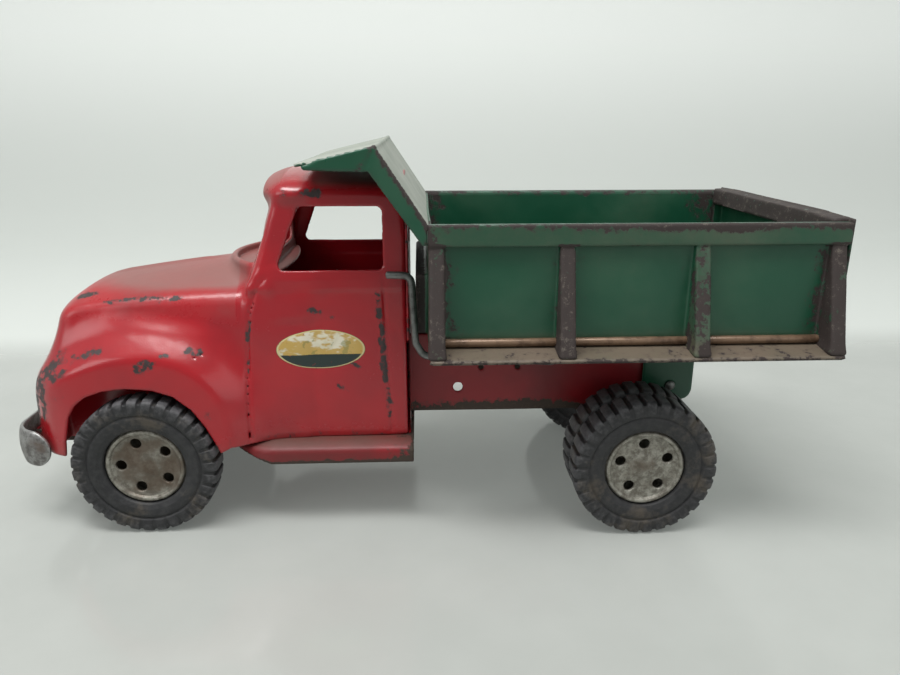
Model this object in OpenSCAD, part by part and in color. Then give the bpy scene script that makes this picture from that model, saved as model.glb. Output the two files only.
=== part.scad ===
// Pressed-steel toy dump truck: red cab, green tipping bed, six rubber tyres.
// The front of the truck faces -X, its left side faces -Y, and the wheels stand on z = 0.

/* [Overall] */
// Length from the bumper to the tailgate
overall_length = 331; // [325:1:340]
// Thickness of the pressed steel sheet
sheet = 1.2; // [1:0.1:1.4]

/* [Wheels] */
// Position of the front axle
front_axle_x = -109; // [-111:0.5:-107]
// Position of the rear axle
rear_axle_x = 95; // [93:0.5:97]
// Outer diameter of a tyre
tyre_d = 59; // [58:0.5:60]
// Width of a tyre
tyre_w = 13; // [12:0.25:13.5]
// Diameter of a hub disc, and of the tyre's opening
hub_d = 33; // [31:0.5:35]
// Number of round holes in a hub
hub_holes = 5; // [3:1:6]
// Diameter of a hub hole
hub_hole_d = 4.4; // [3:0.1:5]
// Outer face of a front tyre from the middle plane
front_track_y = 52.5; // [52:0.25:53]
// Outer face of an outer rear tyre from the middle plane
rear_track_y = 62.5; // [62:0.25:63]
// Diameter of both axles
axle_d = 3.2; // [3:0.1:3.4]

/* [Chassis] */
// Outer faces of the two side rails, from one to the other
chassis_w = 52; // [50:0.5:53]
// Lower edge of the side rails
rail_z = 42; // [40:0.5:44]
// Top of the channel between cab and rear end
chassis_top_z = 77.5; // [76:0.25:78]
// Diameter of the round hole in each rail
rail_hole_d = 4.2; // [3:0.1:5]

/* [Cab] */
// Half of the width over the doors
cab_half_w = 40.5; // [40:0.25:41]
// Height of the lower edge of the doors
door_bottom_z = 37; // [36:0.5:38]
// Height of the window sills
sill_z = 108; // [106:0.5:110]
// Height of the top edge of the side windows
window_top_z = 132; // [130:0.5:133]
// Height of the cab roof
roof_z = 144.5; // [143:0.5:145]

/* [Bed] */
// Front end of the bed
bed_x0 = 7.5; // [7:0.25:9]
// Rear end of the bed sides
bed_x1 = 163.5; // [163:0.25:164]
// Half of the width over the rims
rim_half_w = 62; // [61:0.5:63]
// Half of the width over the ledges of the floor
ledge_half_w = 72; // [70:0.5:73]
// Underside of the bed floor
bed_z = 79; // [78.6:0.1:80]
// Top of the rims
rim_z = 129; // [127:0.5:131]
// Height of a rim's outer face
rim_h = 7.7; // [6:0.1:9]
// Width of a rib
rib_w = 6.0; // [4:0.1:8]
// Height of the shield's crease
shield_top_z = 156.8; // [155:0.1:158]

/* [Tipping] */
// Hinge pin of the bed, along the truck
hinge_x = 114; // [112:0.5:115]
// Height of the hinge pin
hinge_z = 53; // [52:0.5:54]
// Diameter of the hinge pin
hinge_pin_d = 3.2; // [3:0.1:3.6]
// Shaft of the dump lever, along the truck
lever_x = 60; // [59:0.5:61]
// Height of the lever's shaft
lever_z = 70; // [69.5:0.25:70.5]
// Diameter of the lever's rod
lever_d = 3; // [2.6:0.1:3.2]

/* [Hidden] */
$fn = 48;

fit = 0.05;          // radial clearance of a running fit
front_x = -overall_length / 2;
rear_x = overall_length / 2;
axle_z = tyre_d / 2;
axle_r = axle_d / 2;
rail_y = chassis_w / 2;
dual_gap = 1;
inner_track_y = rear_track_y - tyre_w - dual_gap;
tyre_bore_r = hub_d / 2;
spacer_r = axle_r + 1.6;
hub_face_inset = 2.3;      // hub disc behind the tyre's outer face
hub_t = 1.4;
hub_boss_r = 4.2;
axle_end_inset = hub_face_inset + hub_t + 0.4;
floor_z = 80.5;            // top of the bed floor between the sides
ledge_z = 82.5;            // root of the ledge at the side panels
panel_y = 60;              // outer face of a side panel
tailgate_pin_x = 161.1;
tailgate_pin_z = 127;
tailgate_pin_d = 3;
past = 60;                 // bodies that cut reach this far to each side
red = [0.62, 0.11, 0.14];
green = [0.11, 0.31, 0.22];
steel = [0.55, 0.55, 0.53];
rubber = [0.13, 0.13, 0.14];
cream = [0.86, 0.82, 0.70];

// ---------- helpers ----------

// Draws its children, and their mirror image across the middle plane.
module both_sides() {
    children();
    mirror([0, 1, 0]) children();
}

// A cylinder along Y from y0 to y1 at (x, z).
module y_rod(x, z, r, y0, y1) {
    translate([x, y1, z]) rotate([90, 0, 0]) cylinder(r = r, h = y1 - y0);
}

// Extrudes an (x, z) outline along Y from y0 to y1.
module xz_plate(points, y0, y1) {
    translate([0, y1, 0]) rotate([90, 0, 0]) linear_extrude(y1 - y0) polygon(points);
}

// Extrudes a (y, z) outline along X from x0 to x1.
module yz_plate(points, x0, x1) {
    translate([x0, 0, 0]) rotate([90, 0, 90]) linear_extrude(x1 - x0) polygon(points);
}

// A straight rod between two points, with round ends.
module rod(a, b, r) {
    v = b - a;
    h = norm(v);
    translate(a)
        rotate([0, acos(v.z / h), atan2(v.y, v.x)])
            cylinder(r = r, h = h);
    translate(b) sphere(r = r + joint_bulge);
}

// The hull of balls given as [x, y, z, r], on both sides of the middle plane.
// grow makes every ball larger or smaller, so the whole form is offset evenly.
module ball_form(balls, grow) {
    hull()
        for (b = balls, side = [-1, 1])
            translate([b[0], side * b[1], b[2]]) sphere(r = b[3] + grow, $fn = 24);
}

// The same hull on one side only.
module side_ball_form(balls, side, grow) {
    hull()
        for (b = balls)
            translate([b[0], side * b[1], b[2]]) sphere(r = b[3] + grow, $fn = 24);
}

// ---------- chassis ----------

front_deck_z = 60;         // lower front part of the channel's top
rail_foot_z = 22;          // rail ears that carry the axles
bumper_tab_z = 30.5;
bumper_tab_h = 5.5;
bumper_tab_w = 9;
rail_hole_x = 20.4;
rail_hole_z = 52.9;
lift_slot = [50, 24];      // opening in the deck for the lift arm
rail_outline = [
    [front_x + sheet, bumper_tab_z], [front_x + sheet, bumper_tab_z + bumper_tab_h],
    [-139, 36], [-134, front_deck_z], [-60, front_deck_z],
    [-55, chassis_top_z], [121, chassis_top_z], [121, 47], [112, 36], [107, rail_foot_z],
    [83, rail_foot_z], [73, rail_z], [-86, rail_z], [-97, rail_foot_z],
    [-121, rail_foot_z], [-136, bumper_tab_z]
];

module frame_rail() {
    color(red) difference() {
        xz_plate(rail_outline, -rail_y, -rail_y + sheet);
        y_rod(front_axle_x, axle_z, axle_r + fit, -past, past);
        y_rod(rear_axle_x, axle_z, axle_r + fit, -past, past);
        y_rod(hinge_x, hinge_z, hinge_pin_d / 2 + fit, -past, past);
        y_rod(lever_x, lever_z, lever_d / 2 + fit, -past, past);
        y_rod(rail_hole_x, rail_hole_z, rail_hole_d / 2, -past, past);
    }
}

module frame_left_rail() { frame_rail(); }
module frame_right_rail() { mirror([0, 1, 0]) frame_rail(); }

deck_outline = [
    [-132, front_deck_z], [-60, front_deck_z], [-55, chassis_top_z], [121, chassis_top_z],
    [121, chassis_top_z - sheet], [-54.2, chassis_top_z - sheet],
    [-59.2, front_deck_z - sheet], [-132, front_deck_z - sheet]
];

// The flat top of the channel, low over the front axle and high from the cab's doors back.
module frame_deck() {
    color(red) difference() {
        xz_plate(deck_outline, -rail_y + sheet, rail_y - sheet);
        translate([lever_x + 2, -lift_slot.y / 2, chassis_top_z - 2 * sheet])
            cube([lift_slot.x, lift_slot.y, 4 * sheet]);
    }
}

// Small flanges at the front ends of the rails, which carry the bumper.
module bumper_tabs() {
    color(red) both_sides() difference() {
        translate([front_x + sheet, -rail_y + sheet, bumper_tab_z])
            cube([sheet, bumper_tab_w, bumper_tab_h]);
        bumper_rivet_bore();
    }
}

module axle(x, half_length) {
    color(steel) y_rod(x, axle_z, axle_r, -half_length, half_length);
}

module front_axle() { axle(front_axle_x, front_track_y - axle_end_inset); }

module rear_axle() { axle(rear_axle_x, rear_track_y - axle_end_inset); }

module spacers(x, y_end) {
    color(steel) both_sides() difference() {
        y_rod(x, axle_z, spacer_r, -y_end, -rail_y - 0.1);
        y_rod(x, axle_z, axle_r + fit, -y_end - 1, -rail_y + 1);
    }
}

module front_axle_spacers() { spacers(front_axle_x, front_track_y - tyre_w - 0.3); }

module rear_axle_spacers() { spacers(rear_axle_x, inner_track_y - tyre_w - 0.3); }

// ---------- wheels ----------

// Every wheel is drawn with its outer face at y = 0, facing -Y, and turned into place.
module place_wheel(x, y_face, side) {
    translate([x, side * y_face, axle_z])
        mirror([0, side > 0 ? 1 : 0, 0])
            children();
}

tyre_outline = [
    [tyre_bore_r, 1.6], [tyre_bore_r + 4, 0.9], [23, 0.2], [25.6, 0], [28, 0.8],
    [tyre_d / 2, 2.6], [tyre_d / 2, tyre_w - 2.6], [28, tyre_w - 0.8],
    [25.6, tyre_w], [23, tyre_w - 0.2], [tyre_bore_r + 4, tyre_w - 0.9],
    [tyre_bore_r, tyre_w - 1.6]
];

module tyre() {
    color(rubber) rotate([-90, 0, 0]) rotate_extrude($fn = 96) polygon(tyre_outline);
}

// A dished disc with a rim that carries the tyre, a boss for the axle, and round holes.
// closed leaves a skin over the axle's end.
module hub(closed) {
    color(steel) difference() {
        union() {
            y_rod(0, 0, tyre_bore_r, hub_face_inset, hub_face_inset + hub_t);
            difference() {
                y_rod(0, 0, tyre_bore_r, hub_face_inset, tyre_w - 1.6);
                y_rod(0, 0, tyre_bore_r - sheet, hub_face_inset - 1, tyre_w);
            }
            y_rod(0, 0, hub_boss_r, hub_face_inset - 0.8, tyre_w - 0.2);
        }
        y_rod(0, 0, axle_r + fit, closed ? hub_face_inset + hub_t : -1, tyre_w + 1);
        for (i = [0 : hub_holes - 1])
            rotate([0, 360 / hub_holes * i + 12, 0])
                y_rod(0, 0.62 * tyre_bore_r, hub_hole_d / 2, -1, tyre_w);
    }
}

module front_left_tyre() { place_wheel(front_axle_x, front_track_y, -1) tyre(); }
module front_right_tyre() { place_wheel(front_axle_x, front_track_y, 1) tyre(); }
module rear_left_outer_tyre() { place_wheel(rear_axle_x, rear_track_y, -1) tyre(); }
module rear_left_inner_tyre() { place_wheel(rear_axle_x, inner_track_y, -1) tyre(); }
module rear_right_outer_tyre() { place_wheel(rear_axle_x, rear_track_y, 1) tyre(); }
module rear_right_inner_tyre() { place_wheel(rear_axle_x, inner_track_y, 1) tyre(); }
module front_left_hub() { place_wheel(front_axle_x, front_track_y, -1) hub(true); }
module front_right_hub() { place_wheel(front_axle_x, front_track_y, 1) hub(true); }
module rear_left_outer_hub() { place_wheel(rear_axle_x, rear_track_y, -1) hub(true); }
module rear_left_inner_hub() { place_wheel(rear_axle_x, inner_track_y, -1) hub(false); }
module rear_right_outer_hub() { place_wheel(rear_axle_x, rear_track_y, 1) hub(true); }
module rear_right_inner_hub() { place_wheel(rear_axle_x, inner_track_y, 1) hub(false); }

// ---------- cab ----------

door_r = 6;
door_y = cab_half_w - door_r;
door_lean = 3;
door_lean_h = 43;
hood_balls = [
    [-139, 22, 58, 10], [-137, 20, 87, 9], [-122, 22, 94, 9],
    [-62, 25, 100.5, 9], [-62, 28, 50, 10], [-130, 28, 40, 8]
];
door_balls = [
    [-64, door_y, 40, door_r], [-door_r, door_y, 40, door_r],
    [-64, door_y, 60, door_r], [-door_r, door_y, 60, door_r],
    [-62, door_y - door_lean, 60 + door_lean_h, door_r],
    [-door_r, door_y - door_lean, 60 + door_lean_h, door_r]
];
fender_balls = [
    [-146, 36, 52, 11], [-138, 36, 66, 11], [-112, 37, 70, 12],
    [-94, 37, 68, 12], [-78, 36, 48, 10], [-72, 34, 40, 7],
    [-140, 36, 36, 10], [-112, 43, 64, 10]
];
greenhouse_balls = [
    [-53, 29, 108, 8], [-8, 29, 108, 8], [-44, 27, 131, 8], [-8, 27, 131, 8],
    [-36, 12, roof_z - 10, 10], [-14, 12, roof_z - 10, 10]
];
visor_balls = [
    [-58.5, 20, 134.5, 2.5], [-44, 27, 137, 2.5], [-40, 14, 141, 2.5]
];

// The cab's outer form, or the space inside it when grow is negative.
module cab_form(grow) {
    ball_form(hood_balls, grow);
    ball_form(door_balls, grow);
    ball_form(greenhouse_balls, grow);
    for (side = [-1, 1]) side_ball_form(fender_balls, side, grow);
}

side_window = [
    [-50.5, sill_z], [-10.5, sill_z], [-10.5, window_top_z - 3], [-12.5, window_top_z],
    [-41.5, window_top_z]
];
arch = [
    [-140, 20], [-137.5, 50], [-130, 59], [-122, 62], [-96, 62],
    [-88, 58], [-82, 48], [-78, 34], [-74, 20]
];
arch_inner_y = 29;
fender_bottom_z = 33;
windshield = [50, 20];
rear_window = [44, 20];
back_panel_inset = 1.43;
grille_y = 30;
grille_z0 = 38;
grille_z1 = 70;

module cab_shell() {
    color(red) difference() {
        union() {
            cab_form(0);
            ball_form(visor_balls, 0);
        }
        cab_form(-sheet);
        // open rear, where the back panel sits
        translate([-back_panel_inset, -past, 0]) cube([20, 2 * past, 200]);
        // open underside: level under the doors, lower at the fenders
        xz_plate([[20, 0], [20, door_bottom_z], [-74, door_bottom_z], [-79, fender_bottom_z],
                  [-170, fender_bottom_z], [-170, 0]], -past, past);
        // passage for the frame
        translate([-170, -rail_y - 0.5, 0])
            cube([170, chassis_w + 1, front_deck_z + 1]);
        both_sides() xz_plate(arch, -past, -arch_inner_y);
        xz_plate(side_window, -past, past);
        translate([-75, -windshield.x / 2, sill_z + 3]) cube([40, windshield.x, windshield.y]);
        translate([-170, -grille_y, 20]) cube([40, 2 * grille_y, grille_z1 - 20]);
    }
}

module cab_back_panel() {
    color(red) difference() {
        intersection() {
            cab_form(-0.05);
            translate([-back_panel_inset, -past, door_bottom_z])
                cube([sheet, 2 * past, 200]);
        }
        translate([-5, -rear_window.x / 2, sill_z + 2]) cube([10, rear_window.x, rear_window.y]);
        // passage for the frame
        translate([-5, -rail_y - 0.3, 0]) cube([10, chassis_w + 0.6, chassis_top_z + 0.3]);
    }
}

board_y = 48.5;            // outer face of a running board
board_z = 30.5;            // its lower edge
floor_pan_outline = [
    [-board_y, board_z], [-board_y, 34.4], [-46, door_bottom_z - 0.1],
    [46, door_bottom_z - 0.1], [board_y, 34.4], [board_y, board_z],
    [board_y - sheet, board_z], [board_y - sheet, 34], [45.4, door_bottom_z - sheet],
    [-45.4, door_bottom_z - sheet], [sheet - board_y, 34], [sheet - board_y, board_z]
];

module floor_pan() {
    color(red) difference() {
        yz_plate(floor_pan_outline, -73, 1);
        // tapered front end of each running board
        both_sides() translate([-74, -past, 20])
            linear_extrude(30) polygon([[0, 0], [0, 20], [10, 11], [10, 0]]);
    }
}

headlamp_y = 21;
headlamp_z = 57;
headlamp_r = 6.5;
headlamp_depth = 3.2;
grille_x = -150;
grille_bar_z0 = 43;
grille_bar_z1 = 66;
grille_bar_pitch = 4.5;
grille_bar_h = 1.8;
grille_bar_y = 12;

module front_grille() {
    color(steel) difference() {
        union() {
            translate([grille_x, -grille_y + 0.3, grille_z0])
                cube([sheet, 2 * grille_y - 0.6, grille_z1 - grille_z0 - 0.3]);
            both_sides() translate([grille_x + sheet, -headlamp_y, headlamp_z])
                rotate([0, -90, 0]) cylinder(r = headlamp_r, h = headlamp_depth);
            for (z = [grille_bar_z0 : grille_bar_pitch : grille_bar_z1])
                translate([grille_x - sheet, -grille_bar_y, z])
                    cube([2, 2 * grille_bar_y, grille_bar_h]);
        }
        for (z = [grille_bar_z0 + 2.2 : grille_bar_pitch : grille_bar_z1 - 2])
            translate([grille_x - 3, 1 - grille_bar_y, z])
                cube([8, 2 * grille_bar_y - 2, grille_bar_h]);
    }
}

bumper_z0 = 28;
bumper_h = 15.5;
bumper_bend_r = 15;
bumper_bend_y = 32;
bumper_rivet_y = 21;
bumper_rivet_z = 33.2;
bumper_rivet_r = 1.2;
bumper_rivet_head_r = 2.2;

module bumper_rivet_bore() {
    translate([front_x - 1, -bumper_rivet_y, bumper_rivet_z])
        rotate([0, 90, 0]) cylinder(r = bumper_rivet_r + fit, h = 6);
}

module front_bumper() {
    bend_x = front_x + bumper_bend_r;
    color(steel) difference() {
        union() {
            translate([front_x, -bumper_bend_y, bumper_z0])
                cube([sheet, 2 * bumper_bend_y, bumper_h]);
            both_sides() translate([bend_x, -bumper_bend_y, bumper_z0])
                rotate([0, 0, 180]) rotate_extrude(angle = 86, $fn = 96)
                    translate([bumper_bend_r - sheet, 0]) square([sheet, bumper_h]);
        }
        both_sides() bumper_rivet_bore();
    }
}

module bumper_rivets() {
    color(steel) both_sides() {
        translate([front_x, -bumper_rivet_y, bumper_rivet_z])
            rotate([0, 90, 0]) cylinder(r = bumper_rivet_r, h = 3 * sheet);
        translate([front_x + 2 * sheet, -bumper_rivet_y, bumper_rivet_z])
            rotate([0, 90, 0]) cylinder(r = bumper_rivet_head_r, h = sheet);
    }
}

decal_x = -36.3;
decal_z = 75.8;
decal_semi_w = 18.7;
decal_semi_h = 8.4;

module decal_oval() {
    linear_extrude(0.3)
        polygon([for (a = [0 : 7.5 : 352.5]) [decal_semi_w * cos(a), decal_semi_h * sin(a)]]);
}

// The doors lean in by door_lean over door_lean_h, and the decals lie on them.
module door_decals() {
    color(cream) both_sides()
        translate([decal_x, -cab_half_w + door_lean * (decal_z - 60) / door_lean_h - 0.02,
                   decal_z])
            rotate([90 - atan2(door_lean, door_lean_h), 0, 0]) decal_oval();
}

// ---------- bed ----------

bed_floor_outline = [
    [-ledge_half_w, bed_z], [-ledge_half_w, bed_z + 1.4], [-panel_y, ledge_z],
    [-panel_y + 2, floor_z], [panel_y - 2, floor_z], [panel_y, ledge_z],
    [ledge_half_w, bed_z + 1.4], [ledge_half_w, bed_z]
];

module bed_floor() {
    color(green) yz_plate(bed_floor_outline, bed_x0, bed_x1);
}

rib_outline = [
    [-panel_y + 0.01, ledge_z + 0.02], [-panel_y + 0.01, rim_z - rim_h],
    [-rim_half_w, rim_z - rim_h], [-ledge_half_w, bed_z + 2.6], [-ledge_half_w, bed_z + 1.42]
];
rib_x = [bed_x0, 55.7, 106.1, bed_x1 - rib_w];
bead_r = 1.6;
rim_past = 0.8;            // the rim reaches this far past the bed's rear end

module bed_side() {
    color(green) difference() {
        union() {
            translate([bed_x0, -panel_y, ledge_z])
                cube([bed_x1 - bed_x0, sheet, rim_z - ledge_z]);
            translate([bed_x0, -rim_half_w, rim_z - sheet])
                cube([bed_x1 + rim_past - bed_x0, rim_half_w - panel_y + sheet, sheet]);
            translate([bed_x0, -rim_half_w, rim_z - rim_h])
                cube([bed_x1 + rim_past - bed_x0, 1, rim_h]);
            for (x = rib_x) yz_plate(rib_outline, x, x + rib_w);
            translate([bed_x0, -panel_y - 0.9, ledge_z + 1.9])
                rotate([0, 90, 0]) cylinder(r = bead_r, h = bed_x1 - bed_x0);
        }
        y_rod(tailgate_pin_x, tailgate_pin_z, tailgate_pin_d / 2 + fit, -past - 20, -past + 10);
    }
}

module bed_left_side() { bed_side(); }
module bed_right_side() { mirror([0, 1, 0]) bed_side(); }

module bed_front_wall() {
    color(green) translate([bed_x0, -panel_y + sheet + 0.02, floor_z + 2.5])
        cube([sheet, 2 * (panel_y - sheet) - 0.04, rim_z - floor_z - 2.5]);
}

shield_tip = [-40.6, 149.9];
shield_crease = [-11, shield_top_z];
shield_foot = [bed_x0, rim_z + 0.1];

module cab_shield() {
    color(green) {
        xz_plate([shield_tip, shield_crease, shield_foot, shield_foot + [-1.5, -1.6],
                  shield_crease + [-0.4, -1.5], shield_tip + [0.2, -1.2]],
                 -rim_half_w, rim_half_w);
        both_sides() xz_plate([shield_tip + [3, -0.9], shield_crease, shield_foot,
                               [bed_x0 - 0.2, 121.4], [5.2, 121.4], [-13.5, 147.6],
                               [-37.3, 148.3]],
                              -rim_half_w, -rim_half_w + sheet);
    }
}

bracket_y = rail_y + 0.8;
bracket_x0 = 101.5;
bracket_x1 = 124;
bracket_z = 46;
bracket_r = 8;

module bed_hinge_brackets() {
    color(green) both_sides() difference() {
        union() {
            translate([bracket_x0, -bracket_y - sheet, bracket_z + bracket_r])
                cube([bracket_x1 - bracket_x0, sheet, bed_z - bracket_z - bracket_r]);
            translate([bracket_x0, -bracket_y - sheet, bracket_z])
                cube([bracket_x1 - bracket_x0 - bracket_r, sheet, bracket_r + 1]);
            y_rod(bracket_x1 - bracket_r, bracket_z + bracket_r, bracket_r,
                  -bracket_y - sheet, -bracket_y);
        }
        y_rod(hinge_x, hinge_z, hinge_pin_d / 2 + fit, -past, 0);
    }
}

hinge_head_r = 2.7;
pin_end = bracket_y + sheet + 0.3;

module hinge_pin() {
    color(steel) {
        y_rod(hinge_x, hinge_z, hinge_pin_d / 2, -pin_end - 0.5, pin_end + 0.5);
        both_sides() y_rod(hinge_x, hinge_z, hinge_head_r, -pin_end - sheet, -pin_end);
    }
}

// ---------- tailgate ----------

gate_half_w = 56.3;
gate_x = 164.6;
gate_z = floor_z + 1;
gate_sheet_h = 44.2;
gate_rail_x = 159;
gate_lip_z = 122.5;
gate_top_z = 131.4;

module tailgate() {
    color(green) difference() {
        union() {
            translate([gate_x, -rim_half_w + 1, gate_z])
                cube([rear_x - gate_x, 2 * rim_half_w - 2, gate_sheet_h]);
            translate([gate_rail_x, -gate_half_w, gate_lip_z])
                cube([rear_x - gate_rail_x, 2 * gate_half_w, gate_top_z - gate_lip_z]);
        }
        // hollow of the folded top rail, open downwards
        translate([gate_rail_x + 1, -gate_half_w + sheet, gate_lip_z - 1.5])
            cube([gate_x - gate_rail_x - 1, 2 * (gate_half_w - sheet),
                  gate_top_z - sheet - gate_lip_z + 1.5]);
        y_rod(tailgate_pin_x, tailgate_pin_z, tailgate_pin_d / 2 + fit, -past, past);
    }
}

module tailgate_pins() {
    color(steel) both_sides()
        y_rod(tailgate_pin_x, tailgate_pin_z, tailgate_pin_d / 2, -panel_y - 0.4, -52);
}

// ---------- lever ----------

lever_y = -43;
lever_r = lever_d / 2;
lever_end_y = rail_y + 3.2;
joint_bulge = 0.06;          // a bend's ball stands this proud of the rod

module dump_lever() {
    handle_tip = [-8.3, lever_y, 107];
    elbow = [-0.2, lever_y, 106.6];
    knee = [1.4, lever_y, 77];
    heel = [6.5, lever_y, 73.2];
    crank = [lever_x, lever_y, lever_z];
    color(steel) {
        rod(elbow, handle_tip, lever_r);
        rod(elbow, knee, lever_r);
        rod(knee, heel, lever_r);
        rod(heel, crank, lever_r);
        translate(elbow) sphere(r = lever_r + joint_bulge);
        y_rod(lever_x, lever_z, lever_r, lever_y, lever_end_y);
    }
}

arm_length = 44;
arm_w = 8;
arm_roller_r = 1.75;
washer_r = 3.6;

module lift_arm() {
    color(steel) translate([lever_x, 0, lever_z]) difference() {
        union() {
            y_rod(0, 0, 4, -arm_w / 2, arm_w / 2);
            translate([0, -arm_w / 2, -1.5]) cube([arm_length, arm_w, 3]);
            y_rod(arm_length, 0, arm_roller_r, -10, 10);
        }
        y_rod(0, 0, lever_r + 0.01, -10, 10);
    }
}

module lever_washer() {
    color(steel) difference() {
        y_rod(lever_x, lever_z, washer_r, rail_y + 0.4, rail_y + 1.4);
        y_rod(lever_x, lever_z, lever_r + 0.01, rail_y - 1, rail_y + 5);
    }
}

frame_left_rail();
frame_right_rail();
frame_deck();
bumper_tabs();
cab_shell();
cab_back_panel();
floor_pan();
front_grille();
front_bumper();
bumper_rivets();
front_axle();
rear_axle();
front_axle_spacers();
rear_axle_spacers();
front_left_tyre();
front_right_tyre();
rear_left_outer_tyre();
rear_left_inner_tyre();
rear_right_outer_tyre();
rear_right_inner_tyre();
front_left_hub();
front_right_hub();
rear_left_outer_hub();
rear_left_inner_hub();
rear_right_outer_hub();
rear_right_inner_hub();
bed_floor();
bed_left_side();
bed_right_side();
bed_front_wall();
cab_shield();
bed_hinge_brackets();
hinge_pin();
tailgate();
tailgate_pins();
dump_lever();
lift_arm();
lever_washer();
door_decals();
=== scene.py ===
"""Looks of the pressed-steel toy dump truck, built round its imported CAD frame.

Shapes are worked out in millimetres. The pressed pieces are signed distance fields, negative
inside the metal, which surface_net() turns into meshes.
"""
import functools
import itertools
import math

import bpy
import numpy as np
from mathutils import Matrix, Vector


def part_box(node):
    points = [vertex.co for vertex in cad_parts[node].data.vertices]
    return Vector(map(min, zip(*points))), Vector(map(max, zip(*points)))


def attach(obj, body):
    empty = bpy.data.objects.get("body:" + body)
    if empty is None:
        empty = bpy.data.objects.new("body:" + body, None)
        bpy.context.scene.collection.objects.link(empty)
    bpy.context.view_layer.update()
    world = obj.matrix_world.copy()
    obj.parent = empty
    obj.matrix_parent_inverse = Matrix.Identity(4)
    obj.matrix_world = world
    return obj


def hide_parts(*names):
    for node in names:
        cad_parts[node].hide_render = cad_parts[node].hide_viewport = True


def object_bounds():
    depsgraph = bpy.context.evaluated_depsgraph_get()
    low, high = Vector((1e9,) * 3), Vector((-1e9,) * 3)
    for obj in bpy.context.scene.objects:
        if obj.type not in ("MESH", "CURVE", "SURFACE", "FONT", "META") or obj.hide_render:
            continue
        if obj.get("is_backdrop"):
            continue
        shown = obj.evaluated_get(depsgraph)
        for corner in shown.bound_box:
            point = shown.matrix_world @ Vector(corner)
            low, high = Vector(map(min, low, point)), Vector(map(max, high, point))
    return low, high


MM = 0.001
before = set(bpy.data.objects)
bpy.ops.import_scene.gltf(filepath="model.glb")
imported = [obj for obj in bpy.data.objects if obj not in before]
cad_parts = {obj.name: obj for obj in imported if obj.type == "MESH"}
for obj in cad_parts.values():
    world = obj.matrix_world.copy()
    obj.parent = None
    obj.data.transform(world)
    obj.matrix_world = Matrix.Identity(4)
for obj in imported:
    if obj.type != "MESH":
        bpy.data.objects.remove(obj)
cad_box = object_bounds()


def box_mm(node):
    """The lowest and highest corner of a CAD node, in millimetres."""
    low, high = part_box(node)
    return np.array(low) / MM, np.array(high) / MM


# ---------- distance fields ----------

def smooth_min(a, b, k):
    """Union of two fields, with a fillet of about k millimetres."""
    h = np.clip(0.5 + 0.5 * (b - a) / k, 0, 1)
    return b + (a - b) * h - k * h * (1 - h)


def smooth_max(a, b, k):
    """Intersection of two fields, with a round edge of about k millimetres."""
    return -smooth_min(-a, -b, k)


def common(k, *fields):
    """Intersection of several fields with round edges."""
    result = fields[0]
    for field in fields[1:]:
        result = smooth_max(result, field, k)
    return result


def union(*fields):
    """Union of several fields with sharp inner corners."""
    return functools.reduce(np.minimum, fields)


def slab(value, low, high):
    """The layer between two values of a coordinate."""
    return np.abs(value - (low + high) / 2) - (high - low) / 2


def round_box(x, y, z, low, high, r=0.4):
    """A box between two corners, with edges rounded to radius r."""
    d = [np.abs(p - (a + b) / 2) - ((b - a) / 2 - r) for p, a, b in zip((x, y, z), low, high)]
    outside = np.sqrt(sum(np.maximum(q, 0) ** 2 for q in d))
    return outside + np.minimum(np.maximum(np.maximum(d[0], d[1]), d[2]), 0) - r


def ellipsoid(x, y, z, centre, radii):
    """Close to the true distance to an ellipsoid."""
    p = [(a - c) / r for a, c, r in zip((x, y, z), centre, radii)]
    k0 = np.sqrt(sum(q ** 2 for q in p))
    k1 = np.sqrt(sum((q / r) ** 2 for q, r in zip(p, radii)))
    return k0 * (k0 - 1) / np.maximum(k1, 1e-6)


def capsule(x, y, z, a, b, r):
    """A rod with round ends between points a and b."""
    a, b = np.array(a, float), np.array(b, float)
    d = b - a
    t = ((x - a[0]) * d[0] + (y - a[1]) * d[1] + (z - a[2]) * d[2]) / (d @ d)
    t = np.clip(t, 0, 1)
    return np.sqrt((x - a[0] - t * d[0]) ** 2 + (y - a[1] - t * d[1]) ** 2
                   + (z - a[2] - t * d[2]) ** 2) - r


def outline(u, v, points):
    """Distance to a closed outline in a plane, negative inside."""
    nearest = np.full(np.shape(u), 1e9)
    inside = np.zeros(np.shape(u), bool)
    for (ax, ay), (bx, by) in zip(points, points[1:] + points[:1]):
        ex, ey = bx - ax, by - ay
        t = np.clip(((u - ax) * ex + (v - ay) * ey) / (ex * ex + ey * ey), 0, 1)
        nearest = np.minimum(nearest, (u - ax - t * ex) ** 2 + (v - ay - t * ey) ** 2)
        crosses = (ay > v) != (by > v)
        inside ^= crosses & (u < ax + (v - ay) * ex / np.where(np.abs(ey) > 1e-9, ey, 1e-9))
    return np.where(inside, -1, 1) * np.sqrt(nearest)


def smooth(value, low, high):
    """A smooth step from 0 to 1 between two values."""
    t = np.clip((value - low) / (high - low), 0, 1)
    return t * t * (3 - 2 * t)


def bell(offset, width):
    """1 where the offset is 0, falling to 0 beyond the width."""
    return np.exp(-(offset / width) ** 2)


def bump_at(u, v, centre, radii):
    """A round bump with height 1."""
    return np.exp(-((u - centre[0]) / radii[0]) ** 2 - ((v - centre[1]) / radii[1]) ** 2)


def ripple(x, y, z, size, seed):
    """A slow waviness between -1 and 1, the dents of hand-used sheet metal."""
    rng = np.random.default_rng(seed)
    total = 0
    for _ in range(5):
        direction = rng.normal(size=3)
        direction *= 2 * math.pi / (size * rng.uniform(0.7, 1.6) * np.linalg.norm(direction))
        phase = rng.uniform(0, 2 * math.pi)
        total = total + np.sin(x * direction[0] + y * direction[1] + z * direction[2] + phase)
    return total / 5


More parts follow.
